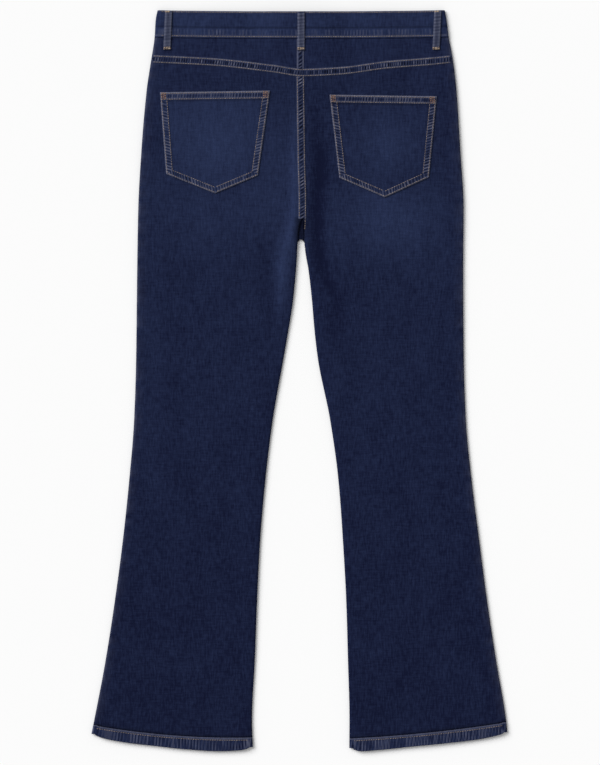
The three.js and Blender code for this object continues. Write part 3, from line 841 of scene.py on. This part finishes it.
def build_waistband():
    sheet = band_sheet()
    x = sheet[0][..., 0]
    level = levels(TOP_LEVEL, BAND_LEVEL, BAND_STEP)[:, None]
    up = (level - BAND_LEVEL) * 0.98
    rope = smooth(up, 3.5, 6) * (1 - smooth(up, 11, 14))
    ladder = puckers(21, 5.0, x, up, 0.1)
    edge = np.exp(-((level - TOP_LEVEL) / 1.6) ** 2)
    groove = np.exp(-((up - 15.5) / 1.2) ** 2) * (0.8 + 0.3 * uneven(8, 20, x))
    height = 0.32 * rope * (1 + 0.5 * ladder) - 0.3 * groove
    seam = np.exp(-((up - 2.8) / 1.8) ** 2)
    # The two negative terms are painted shade: in the sunk groove above the roped band, and along the lower
    # edge where the band meets the yoke.
    rub = (0.26 * rope * ladder + 0.4 * edge * (1 + 0.3 * uneven(9, 7, x)) + 0.22 * seam
           - 0.42 * np.exp(-((up - 15.5) / 1.3) ** 2) - 0.3 * np.exp(-(up / 0.8) ** 2))
    wear_and_shade = 0.55 + 0.1 * uneven(31, 45, x) + 0.1 * rope
    on_top = smooth(sheet[0][..., 2], 3.0, 5.0)
    sheet = raised(sheet, height * on_top)
    piece = cloth("waistband", sheet, finish_for("band"), "band_denim", wear_and_shade=wear_and_shade, rub=rub)
    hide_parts("waistband")
    laid(piece, "waistband", ["front_left", "front_right", "yoke_left", "yoke_right"])


def build_hems():
    for side in LEGS:
        level = levels(HEM_SEAM_LEVEL - 0.01, HEM_EDGE_LEVEL, HEM_STEP)[:, None]
        inward = -sign(side)

        def place(x, level=level, side=side):
            return lower_y(side, x, level)

        outer_y, inner_y = place(side_x(side, level)), place(inner_x(side, level))
        outer, inner = side_x(side, outer_y), inner_x(side, inner_y)
        turn = np.linspace(180, 0, 9)[None, :]
        share = np.linspace(0.035, 0.965, 100)[None, :]
        over, under = lerp(outer, inner, share), lerp(inner, outer, share)
        sheet = joined([
            on_fold(outer, inward, turn, outer_y, HEM_WALL, HEM_PROUD),
            on_back(over, place(over), HEM_WALL, HEM_PROUD),
            on_fold(inner, -inward, turn[:, ::-1], inner_y, HEM_WALL, HEM_PROUD),
            on_front(under, place(under), HEM_WALL),
        ])
        x = sheet[0][..., 0]
        down = HEM_SEAM_LEVEL - level
        rope = smooth(down, 3, 7) * (1 - smooth(down, 25, 28))
        ladder = puckers(41 if side == "left" else 47, 4.6, x, down, 0.08)
        rub = (rope * (0.05 + 0.34 * ladder) + 0.12 * np.exp(-((down - 28) / 1.6) ** 2)
               + 0.3 * (1 - smooth(down, 2.5, 5)))
        on_top = smooth(sheet[0][..., 2], 2.0, 4.0)
        sheet = raised(sheet, 0.34 * rope * ladder * on_top)
        wear_and_shade = 0.4 + 0.22 * rope * ladder
        piece = cloth(f"hem_{side}", sheet, finish_for("band"), "band_denim", ring=True, wear_and_shade=wear_and_shade, rub=rub)
        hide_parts(f"hem_{side}")
        laid(piece, "hem", ["back_" + side, "front_" + side])


# ---------------------------------------------------------------- pockets

def pocket_corners(side):
    return dict(zip(POCKET_CORNERS, np.array(POCKETS[side], float)))


def pocket_points(side, u, d):
    """Places in a pocket, from its outer to its inner edge and from its top to its foot."""
    c = pocket_corners(side)
    u, d = u[..., None], d[..., None]
    outer_half = lerp(c["low_outer"], c["point"], 2 * u)
    inner_half = lerp(c["point"], c["low_inner"], 2 * u - 1)
    low = np.where(u < 0.5, outer_half, inner_half)
    return lerp(lerp(c["top_outer"], c["top_inner"], u), low, d)


def edge_frame(a, b, centre):
    """The direction of an edge, and the one square to it that points into the pocket."""
    along = (b - a) / np.linalg.norm(b - a)
    normal = np.array([-along[1], along[0]])
    return along, -normal if np.dot(centre - a, normal) < 0 else normal


def edge_distance(a, b, x, y, centre):
    """How far inside a straight edge a place lies."""
    normal = edge_frame(a, b, centre)[1]
    return (x - a[0]) * normal[0] + (y - a[1]) * normal[1]


def inset(side, distances):
    """The pocket's outline moved inwards, each edge by its own distance."""
    c = pocket_corners(side)
    centre = sum(c.values()) / len(c)
    lines = []
    for (first, last), gap in zip(POCKET_EDGES, distances):
        along, normal = edge_frame(c[first], c[last], centre)
        lines.append((c[first] + gap * normal, along))
    corners = []
    for n in range(len(lines)):
        (p, u), (q, v) = lines[n - 1], lines[n]
        t = np.cross(q - p, v) / np.cross(u, v)
        corners.append(p + t * u)
    return corners


def build_pockets():
    for side in LEGS:
        c = pocket_corners(side)
        centre = sum(c.values()) / len(c)
        u, d = np.meshgrid(np.linspace(0, 1, 117), np.linspace(0, 1, 109))
        at = pocket_points(side, u, d)
        x, y = at[..., 0], at[..., 1]
        top, inner, low_in, low_out, outer = (
            edge_distance(c[a], c[b], x, y, centre) for a, b in POCKET_EDGES)
        sides, low = np.minimum(inner, outer), np.minimum(low_in, low_out)
        hem = 1 - smooth(top, 10.5, 12.5)
        border = np.maximum(1 - smooth(sides, 8.5, 10.5), 1 - smooth(low, 7.5, 9.5))
        border = border * smooth(top, 10, 12)
        edge = np.minimum(np.minimum(sides, low), top)
        seed = 61 if side == "left" else 67
        ladder_low = puckers(seed, 4.2, x, low, 0.25)
        ladder_side = puckers(seed + 3, 4.4, y, sides, 0.3)
        ladder = np.where(low < sides, ladder_low, ladder_side)
        along_top = puckers(seed + 5, 4.0, x, top, 0.1)
        roll = 1 - smooth(edge, 0, 1.3)
        height = (0.42 * np.maximum(hem, border) + 0.3 * border * ladder + 0.12 * hem * along_top
                  - 0.55 * roll - 0.2 * np.exp(-((top - 12.2) / 1.0) ** 2))
        to_outer, to_inner = (np.hypot(x - c[n][0], y - c[n][1]) for n in ("low_outer", "low_inner"))
        strength = 0.3 + 0.25 * np.exp(-(np.minimum(to_outer, to_inner) / 26) ** 2)
        between = np.exp(-((np.minimum(sides, low) - 5.2) / 2.6) ** 2) * border
        core = np.exp(-((top - 5.8) / 2.4) ** 2) * hem
        # The last two terms paint shade: a dark line at the foot of the pocket's hem and along the step inside
        # its inner stitch row.
        rub = (border * (0.2 + strength * 0.7 * ladder) + between * (0.5 * ladder - 0.36)
               + hem * 0.3 + core * (0.75 * along_top - 0.42)
               + 0.42 * np.exp(-(edge / 1.3) ** 2) - 0.45 * np.exp(-((top - 12.6) / 1.2) ** 2)
               - 0.14 * np.exp(-((sides - 10.4) / 1.3) ** 2) * smooth(top, 11, 14))
        middle = blob(x, y, centre[0], centre[1] + 8, 52, 50)
        wear_and_shade = POCKET_WEAR[side] + 0.26 * middle + 0.08 * uneven(seed, 30, x) + 0.1 * border
        sheet = raised(on_back(x, y, DENIM, SEAM_GAP + DENIM), height)
        piece = cloth(f"pocket_{side}", sheet, finish_for("denim"), "pocket_denim", wear_and_shade=wear_and_shade, rub=rub)
        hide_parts(f"pocket_{side}")
        laid(piece, "pocket", ["back_" + side])


# ---------------------------------------------------------------- seams and belt loops

def seat_x(y):
    """Middle of the seat's felled seam, which lies a little beside the join of the panels."""
    return np.interp(y, (234, 240, 269, 319, 442), (4.4, 4.4, 4.5, 3, 1.5))


def seam_strip(name, along, centre, half, rise, seed, spacing, slant, rests_on):
    """A felled seam: a doubled strip that stands above the panels and puckers between its stitches."""
    across = np.linspace(-1, 1, 15)[None, :]
    x0, y0 = centre(along[:, None])
    x1, y1 = centre(along[:, None] + 0.5)
    run = np.hypot(x1 - x0, y1 - y0)
    nx, ny = (y1 - y0) / run, -(x1 - x0) / run
    x, y = x0 + across * half * nx, y0 + across * half * ny
    profile = 1 - np.abs(across) ** 5
    ladder = puckers(seed, spacing, along[:, None], across * half, slant) * (1 - across**2)
    groove = np.exp(-((np.abs(across) - 0.72) / 0.14) ** 2)
    lift = rise * profile + 0.3 * ladder - 0.12 * groove
    top = back_height(x, y)
    sheet = (stack(x, y, top + lift - 0.05), stack(x, y, top - 0.5))
    core = np.exp(-(across / 0.42) ** 4)
    rub = core * (0.95 * ladder - 0.2) + 0.42 * np.exp(-((np.abs(across) - 0.72) / 0.2) ** 2)
    # The last term paints a shadow line along one edge, where the strip steps down onto the panels.
    rub = rub * (1 + 0.35 * uneven(seed + 4, 9, along[:, None])) - 0.5 * smooth(across, 0.9, 1)
    wear_and_shade = wash(x, y) + 0.1 + 0.14 * ladder
    piece = cloth(name, sheet, finish_for("denim"), "denim", wear_and_shade=wear_and_shade, rub=rub)
    laid(piece, name, rests_on)


def build_seams():
    panels, yokes = ["back_left", "back_right"], ["yoke_left", "yoke_right"]
    seam_strip("yoke_seam", np.linspace(-212, 219, 430), lambda x: (x, yoke_seam_y(x)),
               half=6.2, rise=0.85, seed=71, spacing=3.6, slant=0.15, rests_on=panels + yokes)
    seam_strip("seat_seam", np.linspace(234, 440, 206), lambda y: (seat_x(y), y),
               half=6.2, rise=0.95, seed=77, spacing=5.0, slant=-0.6, rests_on=panels)
    seam_strip("yoke_centre_seam", np.linspace(450, 495, 46), lambda y: (1.6 + 0 * y, y),
               half=5.6, rise=0.7, seed=79, spacing=5.0, slant=-0.6, rests_on=yokes)
    y = np.linspace(FORK_SEAM["top"], FORK_SEAM["foot"], 35)[:, None]
    across = np.linspace(-1, 1, 9)[None, :]
    x = FRONT_SEAM_X + across * FORK_SEAM["half"]
    fork = (stack(x, y, FORK_SEAM["upper"] - 0.2 * across**2), stack(x, y, FORK_SEAM["lower"]))
    # Painted shade: the fork seam is darkened as it lies in the shade between the legs.
    piece = cloth("fork_seam", fork, finish_for("denim"), "denim", wear_and_shade=0.1, rub=-0.45)
    laid(piece, "fork_seam", ["front_left", "front_right"])


def build_back_loops():
    down = np.linspace(LOOP_START, LOOP_LENGTH, 48)[:, None]
    across = np.linspace(-1, 1, 11)[None, :]
    rise = np.interp(down, LOOP_DOWN, LOOP_RISE)
    bow = -0.55 * np.abs(across) ** 4 + 0.14 * np.exp(-((np.abs(across) - 0.5) / 0.25) ** 2)
    edge = np.exp(-((np.abs(across) - 0.72) / 0.2) ** 2)
    for seed, (name, top, bottom) in enumerate(BACK_LOOPS):
        middle = lerp(top, bottom, down / LOOP_LENGTH)
        y = band_edge_y(middle) - down
        height = back_height(middle, y) + rise + LOOP_WALL
        x = middle + across * LOOP_WIDTH / 2
        ladder = puckers(91 + seed, 4.5, down, across * 5, 0.1)
        sheet = (stack(x, y, height + bow + 0.08 * ladder), stack(x, y, height - LOOP_WALL))
        rub = 0.2 * ladder + 0.26 * edge - 0.1 * np.exp(-(across / 0.4) ** 2)
        wear_and_shade = 0.42 + 0.2 * ladder + 0.3 * np.abs(across)
        piece = cloth(name, sheet, finish_for("loop"), "loop_denim", wear_and_shade=wear_and_shade, rub=rub)
        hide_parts(name)
        laid(piece, "loop", ["waistband"])


def build_front_loops():
    down = np.linspace(LOOP_START, LOOP_LENGTH, 30)[:, None]
    across = np.linspace(-1, 1, 9)[None, :]
    for name, middle in FRONT_LOOPS:
        y = band_edge_y(middle) - front_dip(middle) - down
        x = middle + across * LOOP_WIDTH / 2
        sheet = (stack(x, y, 0.3 * np.abs(across) ** 4), stack(x, y, LOOP_WALL))
        piece = cloth(name, sheet, finish_for("loop"), "loop_denim", wear_and_shade=0.5)
        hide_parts(name)
        laid(piece, "loop", ["ground"])


# ---------------------------------------------------------------- stitches

def over_back(x, y, proud):
    """A line of thread over the back, at a height above the panels."""
    x, y = np.broadcast_arrays(np.asarray(x, float), np.asarray(y, float))
    return np.stack([x, y, back_height(x, y) + proud], axis=-1)


def under_front(x, y):
    """A line of thread on the side that lies down."""
    x, y = np.broadcast_arrays(np.asarray(x, float), np.asarray(y, float))
    return np.stack([x, y, rest_height(x, y) - 0.1], axis=-1)


def stitch_piece(name, rows, colour="tan", **settings):
    sizes = bpy.context.scene.jeans_sizes
    usual = {"length": sizes.stitch_length / MM, "gap": sizes.stitch_gap / MM, "thick": sizes.thread / MM}
    usual = {key: round(value, 4) for key, value in usual.items()}
    return stitch_rows(name, rows, finish_for(colour), "thread", **{**usual, **settings})


def straight(a, b, proud):
    t = np.linspace(0, 1, 60)[:, None]
    p = lerp(a, b, t)
    return over_back(p[:, 0], p[:, 1], proud)


# How far inside the pocket's edges its two rows run, in the order of the edges
POCKET_ROWS = ((1.8, 1.6, 1.6, 1.6, 1.6), (10.2, 9.2, 8.2, 8.2, 9.2))
SEEDS = {"pocket": {"left": 7, "right": 8}, "hem": {"left": 9, "right": 10}}


def hem_row(side, share, short):
    """Places across a hem, kept clear of its folds."""
    low = -513.0
    return np.linspace(side_x(side, low) * share, inner_x(side, low) + sign(side) * short, 140)


def build_topstitching():
    offsets = STITCH_OFFSETS
    band_x = np.linspace(-200, 207, 260)
    stitch_piece("waistband_stitches", [
        over_back(band_x, band_edge_y(band_x) - offsets["band_top"], BAND_PROUD + 0.12),
        over_back(band_x, band_seam_y(band_x) + offsets["band_low"], BAND_PROUD + 0.12),
    ], seed=4)
    yoke_x = np.linspace(-211, 218, 260)
    stitch_piece("yoke_stitches", [
        over_back(yoke_x, yoke_seam_y(yoke_x) + side * offsets["yoke"], 0.78) for side in (-1, 1)
    ], seed=5)
    seat_y = np.linspace(440, 237, 120)
    rows = [over_back(seat_x(seat_y) + side * offsets["seat"], seat_y, 0.88) for side in (-1, 1)]
    rows.append(over_back(np.linspace(8.8, 7.9, 12), np.linspace(236, 217, 12), 0.15))
    stitch_piece("seat_stitches", rows, seed=6)
    for side in LEGS:
        rows = []
        for gaps in POCKET_ROWS:
            top_outer, top_inner, low_inner, point, low_outer = inset(side, gaps)
            path = [top_inner, low_inner, point, low_outer, top_outer]
            rows += [straight(a, b, 2.0) for a, b in zip(path[:-1], path[1:])]
            outer_end, inner_end = inset(side, (gaps[0], *POCKET_ROWS[0][1:]))[:2]
            rows.append(straight(outer_end, inner_end, 1.98))
        stitch_piece(f"pocket_stitches_{side}", rows, seed=SEEDS["pocket"][side])
        x = hem_row(side, 0.975, 5)
        row = over_back(x, hem_seam_y(side, x) - offsets["hem"], HEM_PROUD + 0.1)
        stitch_piece(f"hem_stitches_{side}", [row], seed=SEEDS["hem"][side])


FLY = {"edge": -34.0, "reach": 36.3, "top": 470, "bend": 372, "drop": 32, "between_rows": 6.5}


def build_front_stitching():
    """The curved double row that holds the fly, and the hem rows, on the side that lies down."""
    rows = []
    for off in (0, FLY["between_rows"]):
        t = np.linspace(0, math.pi / 2, 30)
        curve_x = FRONT_SEAM_X - (FLY["reach"] - off) * np.cos(t)
        curve_y = FLY["bend"] - (FLY["drop"] - off) * np.sin(t)
        fly_x = np.concatenate([np.full(60, FLY["edge"] + off), curve_x])
        fly_y = np.concatenate([np.linspace(FLY["top"], FLY["bend"], 60), curve_y])
        rows.append(under_front(fly_x, fly_y))
    for side in LEGS:
        x = hem_row(side, 0.96, 8)
        rows.append(under_front(x, hem_seam_y(side, x) - STITCH_OFFSETS["hem"]))
    stitch_piece("front_stitches", rows, thick=0.7, seed=18)


def bar_tack(x, y, wide, tall, proud, turn=0.0, spacing=0.75):
    """Close zigzag threads that hold a corner or the end of a loop."""
    rows = []
    count = max(3, int(tall / spacing))
    c, s = math.cos(turn), math.sin(turn)
    for n in range(count):
        across = (n / (count - 1) - 0.5) * tall
        lean = 0.35 * spacing * (-1) ** n
        line = np.array([(-wide / 2, across - lean), (0, across), (wide / 2, across + lean)])
        turned_x = line[:, 0] * c - line[:, 1] * s
        turned_y = line[:, 0] * s + line[:, 1] * c
        rows.append(over_back(x + turned_x, y + turned_y, proud))
    return rows


def build_bar_tacks():
    rows = []
    for side in LEGS:
        for corner in inset(side, (5.2, 5.4, 5.4, 5.4, 5.4))[:2]:
            rows += bar_tack(corner[0], corner[1], 9.2, 8.2, 2.1, turn=0.05, spacing=1.35)
    stitch_piece("pocket_bar_tacks", rows, "orange", length=2.5, gap=0.1, thick=0.8, seed=12)
    rows = []
    for x, low, upper_tack in LOOP_TACKS:
        rows += bar_tack(x, low, 11.6, 2.4, LOOP_WALL + 1.15)
        if upper_tack:
            rows += bar_tack(x + 1.9, band_edge_y(x) - 1.8, 10.5, 1.4, LOOP_WALL + 1.5)
    stitch_piece("loop_bar_tacks", rows, "cream", length=3.4, gap=0.1, thick=0.8, seed=13)


# ---------------------------------------------------------------- zip and button

ZIP = {"half": 13, "tape": 0.7, "pitch": 1.5, "teeth": 1.1, "tooth_half": 1.6}
BUTTON_RADIUS = 8.5


def build_zip():
    low, high = (np.array(corner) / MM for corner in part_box("zip"))
    rows = np.linspace(high[1], low[1], 60)[:, None]
    across = np.linspace(-ZIP["half"], ZIP["half"], 15)[None, :]
    middle = (low[0] + high[0]) / 2
    base = rest_height(FRONT_SEAM_X, rows) + DENIM + SEAM_GAP
    tape = (stack(middle + across, rows, base + ZIP["tape"]), stack(middle + across, rows, base))
    piece = cloth("zip_tape", tape, finish_for("tape"), "zip_tape", wear_and_shade=0.4)
    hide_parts("zip")
    laid(piece, "zip_tape", ["front_left", "front_right"])
    teeth = []
    for n, y in enumerate(np.arange(low[1] + 3, high[1] - 8, ZIP["pitch"])):
        x = middle + 0.6 * (-1) ** n
        z = float(rest_height(FRONT_SEAM_X, np.array(y))) + DENIM + SEAM_GAP + ZIP["teeth"]
        half = ZIP["tooth_half"]
        teeth.append(np.array([(x - half, y, z), (x, y, z + 0.2), (x + half, y, z)]))
    stitch_rows("zip_teeth", teeth, finish_for("brass"), "zip_tape", length=2.6, gap=1.0, thick=1.0, seed=15)


def build_button():
    low, high = (np.array(corner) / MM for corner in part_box("button"))
    middle = (low + high) / 2
    scale, tall = (high[0] - low[0]) / 2 / BUTTON_RADIUS, high[2] - low[2]
    profile = [
        (0, 0.25), (2.0, 0.25), (2.6, 0.45), (5.2, 0.45), (5.9, 0.1), (6.8, 0), (7.7, 0.1), (8.3, 0.5),
        (8.5, 1.0), (8.3, 1.5), (7.6, 2.1), (5.0, 2.3), (4.3, 2.6), (4.2, tall), (0, tall),
    ]
    turn = np.radians(np.arange(0, 360, 7.5))
    points = [
        (r * scale * math.cos(a) + middle[0], r * scale * math.sin(a) + middle[1], z)
        for r, z in profile for a in turn
    ]
    count = len(turn)
    faces = []
    for n in range(len(profile) - 1):
        for k in range(count):
            near, far = n * count, (n + 1) * count
            faces.append((near + k, near + (k + 1) % count, far + (k + 1) % count, far + k))
    points = np.array(points)
    mesh = make_mesh("button", points, facing_out(points, np.array(faces)), {})
    piece = add_object("button", mesh, finish_for("brass"), "button_metal")
    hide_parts("button")


# ---------------------------------------------------------------- stage

FLOOR_DROP = 0.0004
FLOOR_WHITE = 0.94
FLOOR_GLOW = 0.035
SKY_STRENGTH = 0.42
SUN_STRENGTH = 2.95
SUN_WIDTH = math.radians(40)
SUN_TURN = (math.radians(-28), math.radians(-46), 0)
VIEW_DISTANCE = 5.0
VIEW_PLANE = 0.006  # height of the plane where the view is VIEW_TALL long
VIEW_TALL = 1.109
VIEW_CENTRE = (0.001, -0.00326)
SENSOR = 36


def build_stage():
    scene = bpy.context.scene
    bpy.ops.mesh.primitive_plane_add(size=14, location=(0, 0, -FLOOR_DROP))
    floor = bpy.context.object
    floor.name = "floor"
    finish = Finish("pale_floor")
    light = finish.add("LightPath", {})
    seen = finish.math("MAXIMUM", light.outputs["Is Camera Ray"], light.outputs["Is Glossy Ray"])
    seen = finish.math("MAXIMUM", seen, light.outputs["Is Transmission Ray"])
    glow = finish.math("MULTIPLY", seen, FLOOR_GLOW)
    floor.data.materials.append(finish.close({
        "Base Color": (FLOOR_WHITE, FLOOR_WHITE, FLOOR_WHITE, 1), "Roughness": 0.95, "Specular IOR Level": 0.0,
        "Emission Color": (1, 1, 1, 1), "Emission Strength": glow}))

    world = bpy.data.worlds.new("studio")
    world.use_nodes = True
    background = world.node_tree.nodes["Background"]
    background.inputs["Color"].default_value = (1, 1, 1, 1)
    background.inputs["Strength"].default_value = SKY_STRENGTH
    scene.world = world

    sun = bpy.data.objects.new("window_light", bpy.data.lights.new("window_light", "SUN"))
    sun.data.energy = SUN_STRENGTH
    sun.data.angle = SUN_WIDTH
    scene.collection.objects.link(sun)
    sun.rotation_euler = SUN_TURN
    sun.location = (-2, 2, 3)

    camera = bpy.data.objects.new("camera", bpy.data.cameras.new("camera"))
    camera.location = (*VIEW_CENTRE, VIEW_PLANE + VIEW_DISTANCE)
    camera.data.sensor_width = SENSOR
    camera.data.lens = SENSOR * VIEW_DISTANCE / VIEW_TALL
    camera.data.clip_end = 50
    scene.collection.objects.link(camera)
    scene.camera = camera
    scene.view_settings.view_transform = "Standard"


# ---------------------------------------------------------------- add-on

class JeansSizes(bpy.types.PropertyGroup):
    """Sizes that a user would change"""

    fold_scale: bpy.props.FloatProperty(
        name="Fold depth", description="Depth of the folds at the seat", default=1.0,
        min=0.0, max=1.0, subtype="FACTOR")
    ripple_height: bpy.props.FloatProperty(
        name="Ripple height", description="Height of the slow waves in the cloth", default=0.0007,
        min=0.0, max=0.002, unit="LENGTH")
    stitch_length: bpy.props.FloatProperty(
        name="Stitch length", description="Length of one topstitch", default=0.0029,
        min=0.001, max=0.006, unit="LENGTH")
    stitch_gap: bpy.props.FloatProperty(
        name="Stitch gap", description="Cloth that shows between two stitches", default=0.0006,
        min=0.0, max=0.003, unit="LENGTH")
    thread: bpy.props.FloatProperty(
        name="Thread", description="Thickness of the topstitching thread", default=0.00085,
        min=0.0002, max=0.002, unit="LENGTH")


class JeansColours(bpy.types.PropertyGroup):
    """Colours that a user would change"""

    indigo: bpy.props.FloatVectorProperty(
        name="Indigo", description="Colour of the unwashed cloth", subtype="COLOR_GAMMA",
        default=(14 / 255, 19 / 255, 44 / 255), min=0.0, max=1.0)
    washed: bpy.props.FloatVectorProperty(
        name="Washed indigo", description="Colour of the washed cloth", subtype="COLOR_GAMMA",
        default=(43 / 255, 54 / 255, 87 / 255), min=0.0, max=1.0)
    rubbed: bpy.props.FloatVectorProperty(
        name="Rubbed edge", description="Colour of bleached seam edges", subtype="COLOR_GAMMA",
        default=(112 / 255, 114 / 255, 132 / 255), min=0.0, max=1.0)
    loop: bpy.props.FloatVectorProperty(
        name="Belt loop", description="Colour of the belt loops", subtype="COLOR_GAMMA",
        default=(34 / 255, 39 / 255, 62 / 255), min=0.0, max=1.0)
    loop_worn: bpy.props.FloatVectorProperty(
        name="Worn belt loop", description="Colour of the worn edges of the loops", subtype="COLOR_GAMMA",
        default=(74 / 255, 79 / 255, 100 / 255), min=0.0, max=1.0)
    thread: bpy.props.FloatVectorProperty(
        name="Thread", description="Colour of the topstitching", subtype="COLOR_GAMMA",
        default=(104 / 255, 94 / 255, 90 / 255), min=0.0, max=1.0)
    thread_worn: bpy.props.FloatVectorProperty(
        name="Worn thread", description="Colour of the lightest stitches", subtype="COLOR_GAMMA",
        default=(146 / 255, 132 / 255, 122 / 255), min=0.0, max=1.0)


class JEANS_OT_panels_back(bpy.types.Operator):
    """Builds the two back panels"""

    bl_idname = "jeans.panels_back"
    bl_label = "Back panels"

    def execute(self, context):
        build_backs()
        return {"FINISHED"}


class JEANS_OT_yokes(bpy.types.Operator):
    """Builds the two yokes"""

    bl_idname = "jeans.yokes"
    bl_label = "Yokes"

    def execute(self, context):
        build_yokes()
        return {"FINISHED"}


class JEANS_OT_panels_front(bpy.types.Operator):
    """Builds the two front panels"""

    bl_idname = "jeans.panels_front"
    bl_label = "Front panels"

    def execute(self, context):
        build_fronts()
        return {"FINISHED"}


class JEANS_OT_waistband(bpy.types.Operator):
    """Builds the waistband"""

    bl_idname = "jeans.waistband"
    bl_label = "Waistband"

    def execute(self, context):
        build_waistband()
        return {"FINISHED"}


class JEANS_OT_hems(bpy.types.Operator):
    """Builds the hems of both legs"""

    bl_idname = "jeans.hems"
    bl_label = "Hems"

    def execute(self, context):
        build_hems()
        return {"FINISHED"}


class JEANS_OT_pockets(bpy.types.Operator):
    """Builds the two patch pockets"""

    bl_idname = "jeans.pockets"
    bl_label = "Back pockets"

    def execute(self, context):
        build_pockets()
        return {"FINISHED"}


class JEANS_OT_seams(bpy.types.Operator):
    """Builds the yoke, seat and fork seams"""

    bl_idname = "jeans.seams"
    bl_label = "Felled seams"

    def execute(self, context):
        build_seams()
        return {"FINISHED"}


class JEANS_OT_loops(bpy.types.Operator):
    """Builds all the belt loops"""

    bl_idname = "jeans.loops"
    bl_label = "Belt loops"

    def execute(self, context):
        build_back_loops()
        build_front_loops()
        return {"FINISHED"}


class JEANS_OT_stitches(bpy.types.Operator):
    """Builds the topstitching and the bar tacks"""

    bl_idname = "jeans.stitches"
    bl_label = "Stitching"

    def execute(self, context):
        build_topstitching()
        build_front_stitching()
        build_bar_tacks()
        return {"FINISHED"}


class JEANS_OT_hardware(bpy.types.Operator):
    """Builds the zip and the button"""

    bl_idname = "jeans.hardware"
    bl_label = "Zip and button"

    def execute(self, context):
        build_zip()
        build_button()
        return {"FINISHED"}


class JEANS_OT_stage(bpy.types.Operator):
    """Sets the floor, the light and the camera"""

    bl_idname = "jeans.stage"
    bl_label = "Stage"

    def execute(self, context):
        build_stage()
        return {"FINISHED"}


OPERATORS = [
    JEANS_OT_panels_back,
    JEANS_OT_yokes,
    JEANS_OT_panels_front,
    JEANS_OT_waistband,
    JEANS_OT_hems,
    JEANS_OT_pockets,
    JEANS_OT_seams,
    JEANS_OT_loops,
    JEANS_OT_stitches,
    JEANS_OT_hardware,
    JEANS_OT_stage,
]


class JEANS_PT_pieces(bpy.types.Panel):
    """Lists the pieces of the jeans in the sidebar"""

    bl_label = "Jeans"
    bl_idname = "JEANS_PT_pieces"
    bl_space_type = "VIEW_3D"
    bl_region_type = "UI"
    bl_category = "Jeans"

    def draw(self, context):
        for group in (context.scene.jeans_sizes, context.scene.jeans_colours):
            for key in type(group).__annotations__:
                self.layout.prop(group, key)
        for entry in OPERATORS:
            self.layout.operator(entry.bl_idname)


CLASSES = [JeansSizes, JeansColours, *OPERATORS, JEANS_PT_pieces]


def register():
    for entry in CLASSES:
        bpy.utils.register_class(entry)
    bpy.types.Scene.jeans_sizes = bpy.props.PointerProperty(type=JeansSizes)
    bpy.types.Scene.jeans_colours = bpy.props.PointerProperty(type=JeansColours)


def unregister():
    del bpy.types.Scene.jeans_colours
    del bpy.types.Scene.jeans_sizes
    for entry in reversed(CLASSES):
        bpy.utils.unregister_class(entry)


def main():
    register()
    for entry in OPERATORS:
        getattr(bpy.ops.jeans, entry.bl_idname.split(".")[1])()


if __name__ == "__main__":
    main()
